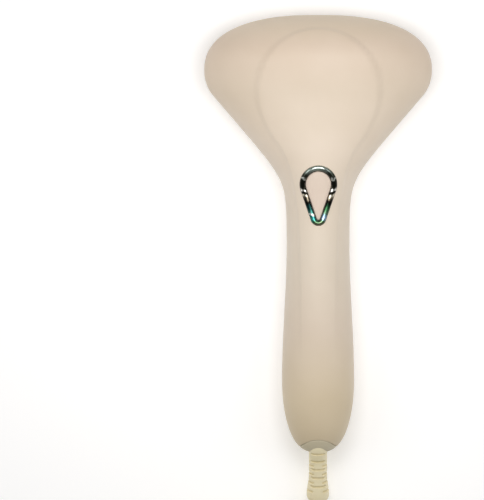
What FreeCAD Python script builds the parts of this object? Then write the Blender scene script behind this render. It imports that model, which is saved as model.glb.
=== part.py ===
"""Handheld garment steamer, lying on its back: +Z out of its front, +Y to the steam head, +X to the right.

The origin is on the resting surface, under the middle of the casing. All sizes are in millimetres.
"""
import FreeCAD, Part
import Sketcher
import math
import os
import re
from FreeCAD import Placement, Rotation, Vector

os.makedirs("parts", exist_ok=True)
doc = FreeCAD.newDocument("HandheldSteamer")

# ---------------------------------------------------------------------------------------------------
# Driving dimensions. A *_drop is measured down from the head's top edge, a *_lift up from the heel.
# ---------------------------------------------------------------------------------------------------
DIMENSIONS = {
    # Casing outline, seen from the front
    "body_length": 245, "head_half": 63.8, "head_wide_drop": 31.5, "shoulder_radius": 21.5,
    "flank_degrees": 40.7, "neck_half": 17.6, "neck_drop": 128.5, "grip_half": 20.2, "grip_wide_lift": 40.5,
    # Casing thickness: rise to the front and depth to the back of the parting plane
    "parting_height": 20, "head_rise": 25, "handle_rise": 20, "heel_rise": 18.5,
    "head_depth": 18.8, "handle_depth": 16, "heel_depth": 20, "head_nose": 24.5,
    "casing_wall": 2.2, "fixed_gap": 0.2, "moving_gap": 0.3,
    # Steam button and its ring
    "button_drop": 95.1, "button_radius": 7.4, "button_tip_drop": 113.9, "button_tip_radius": 1.3,
    "bezel_band": 3.1, "bezel_proud": 0.7, "button_proud": 0.3, "button_travel": 1.5,
    "bezel_depth": 7.5, "bezel_flange": 1.5, "flange_height": 1.8, "stem_radius": 1.6, "stem_gap": 0.05,
    # Steam plate stack, all fan-shaped
    "frame_margin": 3, "frame_foot_half": 22, "frame_top_drop": 12.5, "frame_length": 60,
    "frame_low": 0.6, "frame_tall": 6.4, "frame_rim": 5, "fan_top_radius": 20, "fan_foot_radius": 13,
    "plate_thick": 2.6, "vent_radius": 1.1, "gasket_thick": 0.8, "boiler_inset": 4, "boiler_tall": 13.4,
    "shield_low": 27.5, "shield_thick": 0.6, "heater_diameter": 7, "heater_clear": 6.9,
    "boiler_screw_radius": 2,
    # Water tank, filler and plug
    "tank_wall": 1.2, "tank_gap": 0.5, "tank_top_drop": 134.5, "tank_foot_lift": 30, "wire_channel": 5,
    "filler_drop": 144.5, "filler_radius": 9, "filler_bore": 6.2, "filler_low": 4.4, "filler_tall": 6,
    "plug_flange_low": 2.4, "plug_flange_thick": 1.8, "plug_stem_length": 7.5, "plug_tab_wide": 8,
    "hose_diameter": 5, "hose_wall": 1, "pickup_radius": 4.5, "pickup_length": 12,
    # Pump and electrics
    "pump_radius": 6, "pump_drop": 88, "pump_length": 34, "pump_height": 13, "pump_end": 6,
    "piston_radius": 2.5, "piston_gap": 0.4, "piston_length": 12, "board_half": 10,
    "board_length": 42, "board_drop": 118, "board_under_front": 19,
    "board_thick": 1.6, "switch_length": 12.8, "switch_width": 5.8, "switch_tall": 6,
    "plunger_wide": 1.8, "plunger_long": 2.8, "plunger_sunk": 1.7, "plunger_spare": 0.3,
    "spring_radius": 3, "spring_wire": 0.5, "thermostat_radius": 8, "thermostat_tall": 8,
    "valve_radius": 3.4, "valve_length": 7, "fuse_radius": 2, "fuse_length": 12,
    # Heel and lead
    "exit_height": 20, "cap_radius": 10, "cap_depth": 11, "guard_droop": 20, "guard_length": 37,
    "guard_sunk": 3, "guard_radius": 5.3, "guard_flare": 6.3, "slot_depth": 1.1, "slot_wide": 1.3,
    "slot_pitch": 4.6, "lead_diameter": 7, "lead_gap": 0.3, "wire_diameter": 2.2,
    # Put-away length of the lead, and its plug
    "coil_x": -44.5, "coil_y": -211, "coil_middle": 37.5, "coil_columns": 3, "coil_layers": 3,
    "tie_width": 12, "tie_thick": 0.8, "plug_wide": 35.3, "plug_tall": 13.7, "plug_long": 32,
    "plug_corner": 6, "plug_tail": 14, "pin_radius": 2, "pin_length": 19, "pin_spacing": 19,
    # Casing screws
    "screw_radius": 1.5, "screw_head_radius": 2.75, "screw_head_tall": 2, "screw_seat": 5,
    "screw_length": 11, "boss_radius": 4.2, "neck_screw_x": 10, "heel_screw_x": 11,
}
sheet = doc.addObject("Spreadsheet::Sheet", "Dimensions")
for row, (alias, number) in enumerate(DIMENSIONS.items(), start=1):
    sheet.set("A%d" % row, alias)
    sheet.set("B%d" % row, str(number))
    sheet.setAlias("B%d" % row, alias)
doc.recompute()

WORDS = re.compile(r"\b(%s)\b" % "|".join(DIMENSIONS))
SUBPARTS = []


# ---------------------------------------------------------------------------------------------------
# Small helpers: values and expressions
# ---------------------------------------------------------------------------------------------------
def size(expression):
    """Number that an expression of the sheet's aliases gives now."""
    return float(sheet.evalExpression(str(expression)))


def bind(target, prop, expression):
    """Tie a property to the sheet, with the aliases written as plain words."""
    target.setExpression(prop, WORDS.sub(r"Dimensions.\1", str(expression)))


def subpart(shape_object, label):
    """Name an object as one of the pieces that are written out."""
    shape_object.Label = label
    SUBPARTS.append(shape_object)
    return shape_object


def from_top(drop):
    """Station along Y that lies so far below the head's top edge."""
    return "(body_length/2 - (%s))" % drop


def from_heel(lift):
    """Station along Y that lies so far above the heel's end."""
    return "((%s) - body_length/2)" % lift


# ---------------------------------------------------------------------------------------------------
# Small helpers: Part primitives and booleans
# ---------------------------------------------------------------------------------------------------
AXES = {"x": Rotation(Vector(0, 1, 0), 90), "y": Rotation(Vector(1, 0, 0), -90), "z": Rotation()}


def primitive(kind, name, at, axis="z", **sizes):
    """Part primitive with its sizes and its base point tied to the sheet."""
    piece = doc.addObject("Part::" + kind, name)
    piece.Placement = Placement(Vector(), AXES[axis])
    for prop, expression in sizes.items():
        bind(piece, prop, expression)
    for letter, expression in zip("xyz", at):
        bind(piece, "Placement.Base." + letter, expression)
    return piece


def cylinder(name, at, radius, height, axis="z"):
    return primitive("Cylinder", name, at, axis, Radius=radius, Height=height)


def block(name, middle_x, low_y, low_z, wide, long, tall):
    """Box centred on an X station, standing on its lowest Y and Z."""
    corner = ("%s - (%s)/2" % (middle_x, wide), low_y, low_z)
    return primitive("Box", name, corner, Length=wide, Width=long, Height=tall)


def cut(name, base, *tools):
    """Base less its tools, one boolean after another."""
    for number, tool in enumerate(tools):
        step = doc.addObject("Part::Cut", "%s_cut%d" % (name, number))
        step.Base = base
        step.Tool = tool
        base = step
    return base


def fuse(name, *pieces):
    joined = doc.addObject("Part::MultiFuse", name + "_fuse")
    joined.Shapes = list(pieces)
    joined.Refine = True
    return joined


def group(name, *pieces):
    """Separate solids that share one name."""
    gathered = doc.addObject("Part::Compound", name + "_group")
    gathered.Links = list(pieces)
    return gathered


def feature(name, shape):
    """Piece whose shape is worked out here, because no sketch or primitive gives it."""
    piece = doc.addObject("Part::Feature", name)
    piece.Shape = shape
    return piece


# ---------------------------------------------------------------------------------------------------
# Small helpers: PartDesign bodies
# ---------------------------------------------------------------------------------------------------
def sketch_on(body, name, role="XY_Plane", offset="0"):
    """Sketch on one of the body's own origin planes, moved along that plane's normal."""
    drawing = body.newObject("Sketcher::SketchObject", name)
    support = [item for item in body.Origin.OriginFeatures if item.Role == role][0]
    drawing.AttachmentSupport = (support, [""])
    drawing.MapMode = "FlatFace"
    bind(drawing, "AttachmentOffset.Base.z", offset)
    return drawing


def pin_point(drawing, geometry, end, point):
    """Hold a point of the sketch by its two distances from the origin."""
    for kind, expression in zip(("DistanceX", "DistanceY"), point):
        rule = Sketcher.Constraint(kind, -1, 1, geometry, end, size(expression))
        label = "%s_%d_%d" % (kind, geometry, end)
        drawing.renameConstraint(drawing.addConstraint(rule), label)
        bind(drawing, "Constraints." + label, expression)


def draw_polygon(drawing, corners):
    """Closed outline through corners given as pairs of expressions."""
    spots = [Vector(size(across), size(along), 0) for across, along in corners]
    first = drawing.GeometryCount
    last = first + len(spots) - 1
    for start, end in zip(spots, spots[1:] + spots[:1]):
        drawing.addGeometry(Part.LineSegment(start, end))
    for edge in range(first, last + 1):
        follower = first if edge == last else edge + 1
        drawing.addConstraint(Sketcher.Constraint("Coincident", edge, 2, follower, 1))
    for edge, corner in zip(range(first, last + 1), corners):
        pin_point(drawing, edge, 1, corner)


def draw_circle(drawing, centre, radius):
    spot = Vector(size(centre[0]), size(centre[1]), 0)
    edge = drawing.addGeometry(Part.Circle(spot, Vector(0, 0, 1), size(radius)))
    label = "radius_%d" % edge
    drawing.renameConstraint(drawing.addConstraint(Sketcher.Constraint("Radius", edge, size(radius))), label)
    bind(drawing, "Constraints." + label, radius)
    pin_point(drawing, edge, 3, centre)


def pad(body, name, drawing, length):
    step = body.newObject("PartDesign::Pad", name)
    step.Profile = drawing
    bind(step, "Length", length)
    return step


def pocket(body, name, drawing, length, reverse=False):
    step = body.newObject("PartDesign::Pocket", name)
    step.Profile = drawing
    step.Reversed = reverse
    bind(step, "Length", length)
    return step


def upright_edges(shape, above=0.0):
    """Names of the straight edges along Z, longer than a limit."""
    names = []
    for number, edge in enumerate(shape.Edges, start=1):
        start, end = edge.Vertexes[0].Point, edge.Vertexes[-1].Point
        level = abs(start.x - end.x) + abs(start.y - end.y) < 1e-6
        if level and abs(start.z - end.z) > above:
            names.append("Edge%d" % number)
    return names


def fan_corners(inset, grow="0"):
    """Fan outline of the steam head's plate stack: wide at the top, narrow at its foot."""
    top = "(%s - %s)" % (from_top("frame_top_drop"), inset)
    foot = "(%s - frame_length + %s)" % (from_top("frame_top_drop"), inset)
    wide = "(head_half - frame_margin - %s*1.1)" % inset
    narrow = "(frame_foot_half - %s*0.6)" % inset
    return [("-%s" % wide, top), ("-%s" % narrow, foot), (narrow, foot), (wide, top)]


def fan_body(name, inset, low, tall):
    """Body of a fan-shaped slab with rounded corners."""
    body = doc.addObject("PartDesign::Body", name)
    drawing = sketch_on(body, name + "_outline", offset=low)
    draw_polygon(drawing, fan_corners(inset))
    slab = pad(body, name + "_slab", drawing, tall)
    doc.recompute()
    middle = size("body_length/2 - frame_top_drop - frame_length/2")
    corners = {"top": [], "foot": []}
    for edge_name in upright_edges(slab.Shape):
        height = slab.Shape.getElement(edge_name).Vertexes[0].Point.y
        corners["top" if height > middle else "foot"].append(edge_name)
    rounded = slab
    for side, radius in (("top", "fan_top_radius"), ("foot", "fan_foot_radius")):
        if side == "foot":
            corners[side] = [item for item in upright_edges(rounded.Shape)
                             if rounded.Shape.getElement(item).Vertexes[0].Point.y < middle
                             and rounded.Shape.getElement(item).Vertexes[0].Point.y < foot_edge(slab)]
        step = body.newObject("PartDesign::Fillet", "%s_%s" % (name, side))
        step.Base = (rounded, corners[side])
        bind(step, "Radius", "%s - (%s)*0.5" % (radius, inset))
        doc.recompute()
        rounded = step
    return body


def foot_edge(slab):
    """Just above the lowest station of a slab."""
    return slab.Shape.BoundBox.YMin + 1.0


# ---------------------------------------------------------------------------------------------------
# Free-form casing: one smooth surface through superelliptic sections
# ---------------------------------------------------------------------------------------------------
SECTION_POINTS = 32
STATIONS = 37
END_FLAT = 0.12          # flat left at each end, where the sections close to nothing


def rounded_end(share, along=2.0, across=2.0):
    """Falls from 1 to 0 as the share of an end's length goes from 0 to 1."""
    share = min(max(share, 0.0), 1.0)
    return (1.0 - share ** along) ** (1.0 / across)


def blend(value, start, end):
    """Smooth step from 0 at the start to 1 at the end."""
    share = min(max((value - start) / (end - start), 0.0), 1.0)
    return share * share * (3.0 - 2.0 * share)


class Form:
    """The casing's outer form, moved out by an offset, or in by a negative one."""

    HEAD_BLUNT = 2.4       # exponent of the head's top edge
    HEEL_BLUNT = 2.8       # exponent of the heel's rounding across
    FRONT_CROWN = 2.1      # exponent of the front half's sections
    HANDLE_BACK = 2.2      # exponent of the back half's sections in the handle
    HEAD_BACK = 4.0        # and in the head, whose back is nearly flat
    FLANK_SOFTNESS = 5.0   # how gently the head's flank runs into the neck

    def __init__(self, offset=0.0):
        self.offset = offset
        self.top = size("body_length/2") + offset
        self.heel = -self.top
        self.head_half = size("head_half") + offset
        self.neck_half = size("neck_half") + offset
        self.grip_half = size("grip_half") + offset
        self.shoulder = size("shoulder_radius") + offset
        self.wide_y = size(from_top("head_wide_drop"))
        self.neck_y = size(from_top("neck_drop"))
        self.grip_y = size(from_heel("grip_wide_lift"))
        self.nose_y = size(from_top("head_nose"))
        angle = math.radians(size("flank_degrees"))
        self.slope = math.tan(angle)
        reach = self.shoulder * (self.slope * math.sin(angle) - (1.0 - math.cos(angle)))
        self.shoulder_y = self.wide_y - self.shoulder * math.sin(angle)
        self.flank_y = self.wide_y - (self.head_half - self.neck_half + reach) / self.slope

    def half_width(self, y):
        """Half the width at a station: blunt top, round shoulder, straight flank, neck, grip, heel."""
        if y >= self.wide_y:
            share = (y - self.wide_y) / (self.top - self.wide_y)
            return self.head_half * rounded_end(share, self.HEAD_BLUNT, self.HEAD_BLUNT)
        if y >= self.shoulder_y:
            fall = self.shoulder ** 2 - (self.wide_y - y) ** 2
            return self.head_half - self.shoulder + math.sqrt(fall)
        grip = blend(self.neck_y - y, 0.0, self.neck_y - self.grip_y)
        handle = self.neck_half + (self.grip_half - self.neck_half) * grip
        rise = self.slope * (y - self.flank_y) / self.FLANK_SOFTNESS
        handle += self.FLANK_SOFTNESS * math.log1p(math.exp(min(rise, 40.0)))
        share = (self.grip_y - y) / (self.grip_y - self.heel)
        return handle * rounded_end(share, 2.0, self.HEEL_BLUNT)

    def ends(self, y):
        """How far both ends of the side view have closed."""
        nose = rounded_end((y - self.nose_y) / (self.top - self.nose_y))
        heel = rounded_end((self.grip_y - y) / (self.grip_y - self.heel))
        return nose * heel

    def head_share(self, y):
        """From 0 in the handle to 1 in the head."""
        return blend(y, self.neck_y + 11.0, self.nose_y - 38.0)

    def heel_share(self, y):
        return blend(-y, -self.neck_y + 30.0, -self.grip_y + 8.0)

    def rise(self, y):
        """Height of the front above the parting plane."""
        handle = size("handle_rise") + size("heel_rise - handle_rise") * self.heel_share(y)
        level = handle + size("head_rise - handle_rise") * self.head_share(y)
        return (level + self.offset) * self.ends(y)

    def depth(self, y):
        """Depth of the back below the parting plane."""
        handle = size("handle_depth") + size("heel_depth - handle_depth") * self.heel_share(y)
        level = handle + size("head_depth - handle_depth") * self.head_share(y)
        return (level + self.offset) * self.ends(y)

    def front_height(self, y):
        return size("parting_height") + self.rise(y)

    def section(self, y):
        """Points round one section, from +X over the front."""
        wide, rise, depth = self.half_width(y), self.rise(y), self.depth(y)
        back = self.HANDLE_BACK + (self.HEAD_BACK - self.HANDLE_BACK) * self.head_share(y)
        points = []
        for number in range(SECTION_POINTS):
            turn = 2.0 * math.pi * number / SECTION_POINTS
            across, up = math.cos(turn), math.sin(turn)
            power, height = (self.FRONT_CROWN, rise) if up >= 0.0 else (back, depth)
            reach = (abs(across) ** power + abs(up) ** power) ** (-1.0 / power)
            points.append(Vector(wide * reach * across, y, size("parting_height") + height * reach * up))
        return points

    def solid(self):
        """Closed solid: a spline skin through the sections and a small flat face at each end."""
        first = math.acos(1.0 - END_FLAT / self.top)
        turns = [first + (math.pi - 2.0 * first) * number / (STATIONS - 1) for number in range(STATIONS)]
        rings = []
        for turn in turns:
            ring = Part.BSplineCurve()
            around = [number / SECTION_POINTS for number in range(SECTION_POINTS + 1)]
            ring.interpolate(Points=self.section(self.top * math.cos(turn)), PeriodicFlag=True,
                             Parameters=around)
            rings.append(ring)
        spans = [number / (STATIONS - 1) for number in range(STATIONS)]
        rails = []
        for column in zip(*(ring.getPoles() for ring in rings)):
            rail = Part.BSplineCurve()
            rail.interpolate(Points=list(column), Parameters=spans)
            rails.append(rail)
        skin = Part.BSplineSurface()
        skin.buildFromPolesMultsKnots([rail.getPoles() for rail in rails], rings[0].getMultiplicities(),
                                      rails[0].getMultiplicities(), rings[0].getKnots(),
                                      rails[0].getKnots(), True, False, 3, 3)
        side = skin.toShape()
        faces = [side]
        for edge in side.Edges:
            if edge.BoundBox.YLength < 1e-4:
                faces.append(Part.Face(Part.Wire([edge])))
        shell = Part.makeShell(faces)
        shell.sewShape()
        body = Part.makeSolid(shell)
        if body.Volume < 0.0:
            body.reverse()
        return body


FAR = 400.0              # larger than the whole object, for half spaces


def half_space(low_corner):
    return Part.makeBox(FAR, FAR, FAR, low_corner)


def front_of(shape, height):
    return shape.common(half_space(Vector(-FAR / 2, -FAR / 2, height)))


def back_of(shape, height):
    return shape.common(half_space(Vector(-FAR / 2, -FAR / 2, height - FAR)))


def between(shape, low_y, high_y):
    return shape.common(Part.makeBox(FAR, high_y - low_y, FAR, Vector(-FAR / 2, low_y, -FAR / 2)))


# ---------------------------------------------------------------------------------------------------
# Tubes: straight runs joined by tangent arcs, as large as the two runs allow
# ---------------------------------------------------------------------------------------------------
ARC_SHARE = 0.45


def rounded_path(points, name):
    edges = []
    start = points[0]
    radii = []
    for before, corner, after in zip(points, points[1:], points[2:]):
        arrive = (corner - before).normalize()
        leave = (after - corner).normalize()
        turn = arrive.getAngle(leave)
        trim = ARC_SHARE * min(corner.distanceToPoint(before), corner.distanceToPoint(after))
        radius = trim / math.tan(turn / 2.0)
        radii.append(round(radius, 1))
        entry = corner - arrive * trim
        leaving = corner + leave * trim
        inward = (leave - arrive).normalize()
        centre_distance = math.hypot(radius, trim)
        crown = corner + inward * (centre_distance - radius)
        edges.append(Part.LineSegment(start, entry).toShape())
        edges.append(Part.Arc(entry, crown, leaving).toShape())
        start = leaving
    edges.append(Part.LineSegment(start, points[-1]).toShape())
    wire = Part.Wire(edges)
    print("%s: length %.1f, bend radii %s" % (name, wire.Length, radii))
    return wire


def tube(points, diameter, name, bore=0.0):
    """Round tube along a path, with its volume compared with section times length."""
    path = rounded_path(points, name)
    heading = (points[1] - points[0]).normalize()

    def sweep(radius):
        ring = Part.Wire([Part.Circle(points[0], heading, radius).toShape()])
        return path.makePipeShell([ring], True, False)

    solid = sweep(diameter / 2.0)
    if bore:
        solid = solid.cut(sweep(bore / 2.0))
    section = math.pi * (diameter ** 2 - bore ** 2) / 4.0
    share = solid.Volume / (section * path.Length)
    print("%s: volume is %.4f of section times length" % (name, share))
    return solid


# ---------------------------------------------------------------------------------------------------
# Casing
# ---------------------------------------------------------------------------------------------------
outer = Form()
outer_solid = outer.solid()
cavity_solid = Form(-size("casing_wall")).solid()
parting = size("parting_height")
hollow = outer_solid.cut(cavity_solid)


def drop_wire(radius, tip_radius, height):
    """Teardrop, point down: a large circle and a small one below it, joined by their tangents."""
    round_y = size(from_top("button_drop"))
    tip_y = size(from_top("button_tip_drop"))
    lean = math.asin((radius - tip_radius) / (round_y - tip_y))
    side = Vector(math.cos(lean), -math.sin(lean), 0)
    other = Vector(-side.x, side.y, 0)
    middle, tip = Vector(0, round_y, height), Vector(0, tip_y, height)
    upper = Part.Arc(middle + side * radius, middle + Vector(0, radius, 0), middle + other * radius)
    lower = Part.Arc(tip + other * tip_radius, tip - Vector(0, tip_radius, 0), tip + side * tip_radius)
    left = Part.LineSegment(middle + other * radius, tip + other * tip_radius)
    right = Part.LineSegment(tip + side * tip_radius, middle + side * radius)
    return Part.Wire([upper.toShape(), left.toShape(), lower.toShape(), right.toShape()])


def drop_prism(grow, low, high):
    """Upright prism on the button's outline, grown by a band."""
    outline = drop_wire(size("button_radius") + grow, size("button_tip_radius") + grow, low)
    return Part.Face(outline).extrude(Vector(0, 0, high - low))


band = size("bezel_band")
front_z = outer.front_height(size(from_top("button_drop")))
bezel_low = front_z - size("bezel_depth")
heel_axis = Vector(0, size(from_heel("cap_depth")), size("exit_height"))


def along_heel(radius, length):
    """Cylinder on the heel's axis, running out of the end."""
    return Part.makeCylinder(radius, length, heel_axis, Vector(0, -1, 0))


screw_rows = (("head_half*0.72", from_top("frame_top_drop + frame_length - 26")),
              ("neck_screw_x", from_top("tank_top_drop - boss_radius - 1.2")),
              ("heel_screw_x", from_heel("tank_foot_lift - boss_radius - 0.6")))
screw_spots = [(side * size(across), size(along)) for across, along in screw_rows for side in (-1, 1)]


def boss(spot, radius, low, high):
    return Part.makeCylinder(radius, high - low, Vector(spot[0], spot[1], low))


def front_shell_shape():
    """Front half: thin wall, screw bosses, the button's opening and the heel's round opening."""
    shell = front_of(hollow, parting)
    posts = Part.makeCompound([boss(spot, size("boss_radius"), parting, FAR / 4) for spot in screw_spots])
    shell = shell.fuse(posts.common(front_of(outer_solid, parting)))
    bore_top = parting + size("screw_length - screw_seat") + 3.0
    bores = [boss(spot, size("screw_radius"), parting - 1.0, bore_top) for spot in screw_spots]
    opening = drop_prism(band + size("fixed_gap") / 4, bezel_low - 1.0, FAR / 4)
    return shell.cut([opening, along_heel(size("cap_radius + fixed_gap/4"), 30.0)] + bores)


def rear_shell_shape():
    """Back half: screw tubes with sunk heads, and the openings of plate, filler and lead."""
    shell = back_of(hollow, parting)
    posts = Part.makeCompound([boss(spot, size("boss_radius"), -1.0, parting) for spot in screw_spots])
    shell = shell.fuse(posts.common(back_of(outer_solid, parting)))
    bores = [boss(spot, size("screw_radius + fixed_gap/2"), -1.0, parting + 1.0) for spot in screw_spots]
    seat = parting - size("screw_seat")
    heads = [boss(spot, size("screw_head_radius + fixed_gap"), -1.0, seat) for spot in screw_spots]
    filler = Part.makeCylinder(size("filler_radius + fixed_gap"), 12.0,
                               Vector(0, size(from_top("filler_drop")), 0))
    return shell.cut([filler, along_heel(size("cap_radius + fixed_gap/4"), 30.0)] + bores + heads)


front_shell = subpart(feature("front_casing", front_shell_shape()), "front_shell")
rear_half = feature("rear_casing", rear_shell_shape())
frame_opening = fan_body("frame_opening", "(-fixed_gap/2)", "-1", "frame_low + frame_tall + 1")
rear_shell = subpart(cut("rear_shell", rear_half, frame_opening), "rear_shell")

# ---------------------------------------------------------------------------------------------------
# Steam button, its ring, spring and switch
# ---------------------------------------------------------------------------------------------------
button_y = size(from_top("button_drop"))


def bezel_shape():
    """Ring that stands a little proud of the casing and follows its crown, with a flange inside."""
    ring = drop_prism(band, bezel_low, FAR / 4).common(Form(size("bezel_proud")).solid())
    flange = drop_prism(band + size("bezel_flange"), bezel_low, bezel_low + size("bezel_flange"))
    inside = Form(-size("casing_wall + fixed_gap")).solid()
    return ring.fuse(flange.common(inside)).cut(drop_prism(0.0, bezel_low - 1.0, FAR / 4))


BOARD_TOP = "(parting_height + handle_rise - board_under_front)"
SWITCH_MIDDLE = from_top("(button_drop + 11)")
PLUNGER_TOP = BOARD_TOP + " + switch_tall + button_travel + plunger_spare"


def button_shape():
    """Cap that fills the ring, with a wider foot that keeps it in and a stem that reaches the switch."""
    gap = size("moving_gap")
    foot_top = bezel_low - gap
    cap = drop_prism(-gap, foot_top - 0.5, FAR / 4).common(Form(size("button_proud")).solid())
    foot = drop_prism(size("bezel_flange"), foot_top - size("flange_height"), foot_top)
    stem_spot = (0.0, size(SWITCH_MIDDLE))
    stem = boss(stem_spot, size("stem_radius"), size(PLUNGER_TOP + " + stem_gap"), foot_top - 0.5)
    return cap.fuse([foot, stem])


subpart(feature("ring", bezel_shape()), "button_bezel")
subpart(feature("button", button_shape()), "steam_button")

board = doc.addObject("PartDesign::Body", "board")
board_outline = sketch_on(board, "board_outline", offset=BOARD_TOP + " - board_thick")
board_foot = from_top("board_drop")
draw_polygon(board_outline, [("-board_half", board_foot), ("board_half", board_foot),
                             ("board_half", "%s + board_length" % board_foot),
                             ("-board_half", "%s + board_length" % board_foot)])
pad(board, "board_slab", board_outline, "board_thick")
board_holes = sketch_on(board, "board_holes", offset=BOARD_TOP)
for side in ("-", ""):
    draw_circle(board_holes, ("%s(board_half - 2.5)" % side, "%s + board_length - 3" % board_foot), "1.2")
pocket(board, "board_bores", board_holes, "board_thick")
subpart(board, "control_board")

switch_case = block("switch_case", "0", "%s - switch_length/2" % SWITCH_MIDDLE, BOARD_TOP,
                    "switch_width", "switch_length", "switch_tall")
switch_well = block("switch_well", "0", "%s - plunger_long/2 - moving_gap" % SWITCH_MIDDLE,
                    BOARD_TOP + " + switch_tall - plunger_sunk - button_travel - plunger_spare",
                    "plunger_wide + 2*moving_gap", "plunger_long + 2*moving_gap", "switch_tall")
subpart(cut("micro_switch", switch_case, switch_well), "micro_switch")
plunger = block("plunger", "0", "%s - plunger_long/2" % SWITCH_MIDDLE,
                BOARD_TOP + " + switch_tall - plunger_sunk", "plunger_wide", "plunger_long",
                "plunger_sunk + button_travel + plunger_spare")
subpart(plunger, "switch_plunger")

foot_low = bezel_low - size("moving_gap + flange_height")
spring_y = button_y + 1.5
board_top = size(BOARD_TOP)
spring_high = foot_low - board_top - 2 * size("spring_wire")


def coil_spring(radius, wire, height, turns, base, direction):
    """Round-wire compression spring between two flat faces."""
    helix = Part.makeHelix(height / turns, height, radius)
    ring = Part.Wire([Part.Circle(Vector(radius, 0, 0), Vector(0, 1, 0), wire).toShape()])
    spring = Part.Wire(helix.Edges).makePipeShell([ring], True, True)
    spring.Placement = Placement(base, Rotation(Vector(0, 0, 1), direction))
    return spring


subpart(feature("return_spring", coil_spring(size("spring_radius"), size("spring_wire/2"), spring_high, 4,
                                             Vector(0, spring_y, board_top + size("spring_wire")),
                                             Vector(0, 0, 1))), "button_spring")

# ---------------------------------------------------------------------------------------------------
# Steam plate, its frame and seal, boiler, heater and shield
# ---------------------------------------------------------------------------------------------------
frame_outer = fan_body("frame_outer", "0", "frame_low", "frame_tall")
frame_inner = fan_body("frame_inner", "(frame_rim - fixed_gap)", "frame_low - 1", "frame_tall + 2")
subpart(cut("plate_frame", frame_outer, frame_inner), "plate_frame")


def vent_rows():
    """Steam vents in fan-shaped rows: each row wider than the one below it."""
    centre_y = "(%s - frame_length)" % from_top("frame_top_drop")
    for reach, count, spread in ((15, 3, 26), (26, 5, 54), (38, 7, 70), (49, 9, 76)):
        for number in range(count):
            angle = math.radians(spread * (number / (count - 1) - 0.5))
            yield "%.4f" % (reach * math.sin(angle)), "%s + %.4f" % (centre_y, reach * math.cos(angle))


def steam_plate_body():
    body = fan_body("pressing_plate", "frame_rim", "0", "plate_thick")
    under = body.Tip
    edge_round = body.newObject("PartDesign::Fillet", "edge_round")
    names = ["Edge%d" % number for number, edge in enumerate(under.Shape.Edges, start=1)
             if edge.BoundBox.ZMax < 0.01]
    edge_round.Base = (under, names)
    bind(edge_round, "Radius", "plate_thick*0.4")
    doc.recompute()
    holes = sketch_on(body, "vents", offset="plate_thick")
    for centre in vent_rows():
        draw_circle(holes, centre, "vent_radius")
    before = edge_round.Shape.Volume
    pocket(body, "vent_bores", holes, "plate_thick")
    doc.recompute()
    print("vents take %.1f mm3 from the plate" % (before - body.Shape.Volume))
    return body


subpart(steam_plate_body(), "steam_plate")

BOILER_EDGE = "(frame_rim + boiler_inset/2)"
ROOM_EDGE = "(frame_rim + boiler_inset*1.5)"
gasket_outer = fan_body("gasket_outer", BOILER_EDGE, "plate_thick", "gasket_thick")
gasket_inner = fan_body("gasket_inner", ROOM_EDGE, "plate_thick - 1", "gasket_thick + 2")
subpart(cut("plate_gasket", gasket_outer, gasket_inner), "plate_gasket")

BOILER_LOW = "(plate_thick + gasket_thick)"
BOILER_TOP = "(plate_thick + gasket_thick + boiler_tall)"
boiler_solid = fan_body("boiler_solid", BOILER_EDGE, BOILER_LOW, "boiler_tall")
steam_room = fan_body("steam_room", ROOM_EDGE, BOILER_LOW + " - 1", "7")
frame_top = size(from_top("frame_top_drop"))
heater_z = size(BOILER_TOP)
heater_wide = size("head_half*0.5 - heater_clear")
heater_points = [Vector(across, frame_top - drop, heater_z)
                 for across, drop in ((-9, 56), (-13, 44), (-heater_wide, 20), (-11, 12), (11, 12.01),
                                      (heater_wide, 20), (13, 44), (9, 56))]
heater_groove = feature("heater_groove", tube(heater_points, size("heater_diameter + fixed_gap/2"),
                                              "heater groove"))
boiler_screw_spots = [("(%shead_half*0.5)" % side, from_top("frame_top_drop + 18"))
                      for side in ("-", "")]
boiler_screw_spots += [("(%s5)" % side, from_top("frame_top_drop + 38")) for side in ("-", "")]
screw_bores = [cylinder("boiler_bore%d" % number, (across, along, BOILER_TOP + " - 8"),
                        "boiler_screw_radius", "10")
               for number, (across, along) in enumerate(boiler_screw_spots)]
subpart(cut("boiler_block", boiler_solid, steam_room, heater_groove, *screw_bores), "boiler_block")
subpart(feature("heater", tube(heater_points, size("heater_diameter"), "heating element")), "heating_element")

shield_slab = fan_body("shield_slab", "(frame_rim + 1)", "shield_low", "shield_thick")
shield_holes = [cylinder("shield_hole%d" % number, (across, along, "shield_low - 1"),
                         "boiler_screw_radius + fixed_gap", "shield_thick + 2")
                for number, (across, along) in enumerate(boiler_screw_spots)]
subpart(cut("heat_shield", shield_slab, *shield_holes), "heat_shield")
boiler_screws = []
for number, (across, along) in enumerate(boiler_screw_spots):
    shank = cylinder("boiler_shank%d" % number, (across, along, BOILER_TOP + " - 6"),
                     "boiler_screw_radius - fixed_gap/4", "shield_low + shield_thick - %s + 6" % BOILER_TOP)
    cap = cylinder("boiler_head%d" % number, (across, along, "shield_low + shield_thick"),
                   "boiler_screw_radius*1.8", "2")
    boiler_screws.append(fuse("boiler_screw%d" % number, shank, cap))
subpart(group("boiler_screws", *boiler_screws), "boiler_screws")

THERMOSTAT_Y = from_top("frame_top_drop + 26")
thermostat_can = cylinder("thermostat_can", ("0", THERMOSTAT_Y, BOILER_TOP), "thermostat_radius",
                          "thermostat_tall")
tabs = [block("tab%d" % number, middle, THERMOSTAT_Y + " - 3", BOILER_TOP + " + thermostat_tall - 2.5",
              "6", "6", "0.8")
        for number, middle in enumerate(("-thermostat_radius - 1.5", "thermostat_radius + 1.5"))]
subpart(fuse("thermostat", thermostat_can, *tabs), "thermostat")
fuse_at = ("-fuse_length/2", from_top("frame_top_drop + 44.5"), BOILER_TOP + " + fuse_radius + fixed_gap/2")
fuse_can = cylinder("fuse_can", fuse_at, "fuse_radius", "fuse_length", "x")
subpart(fuse_can, "thermal_fuse")

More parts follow.
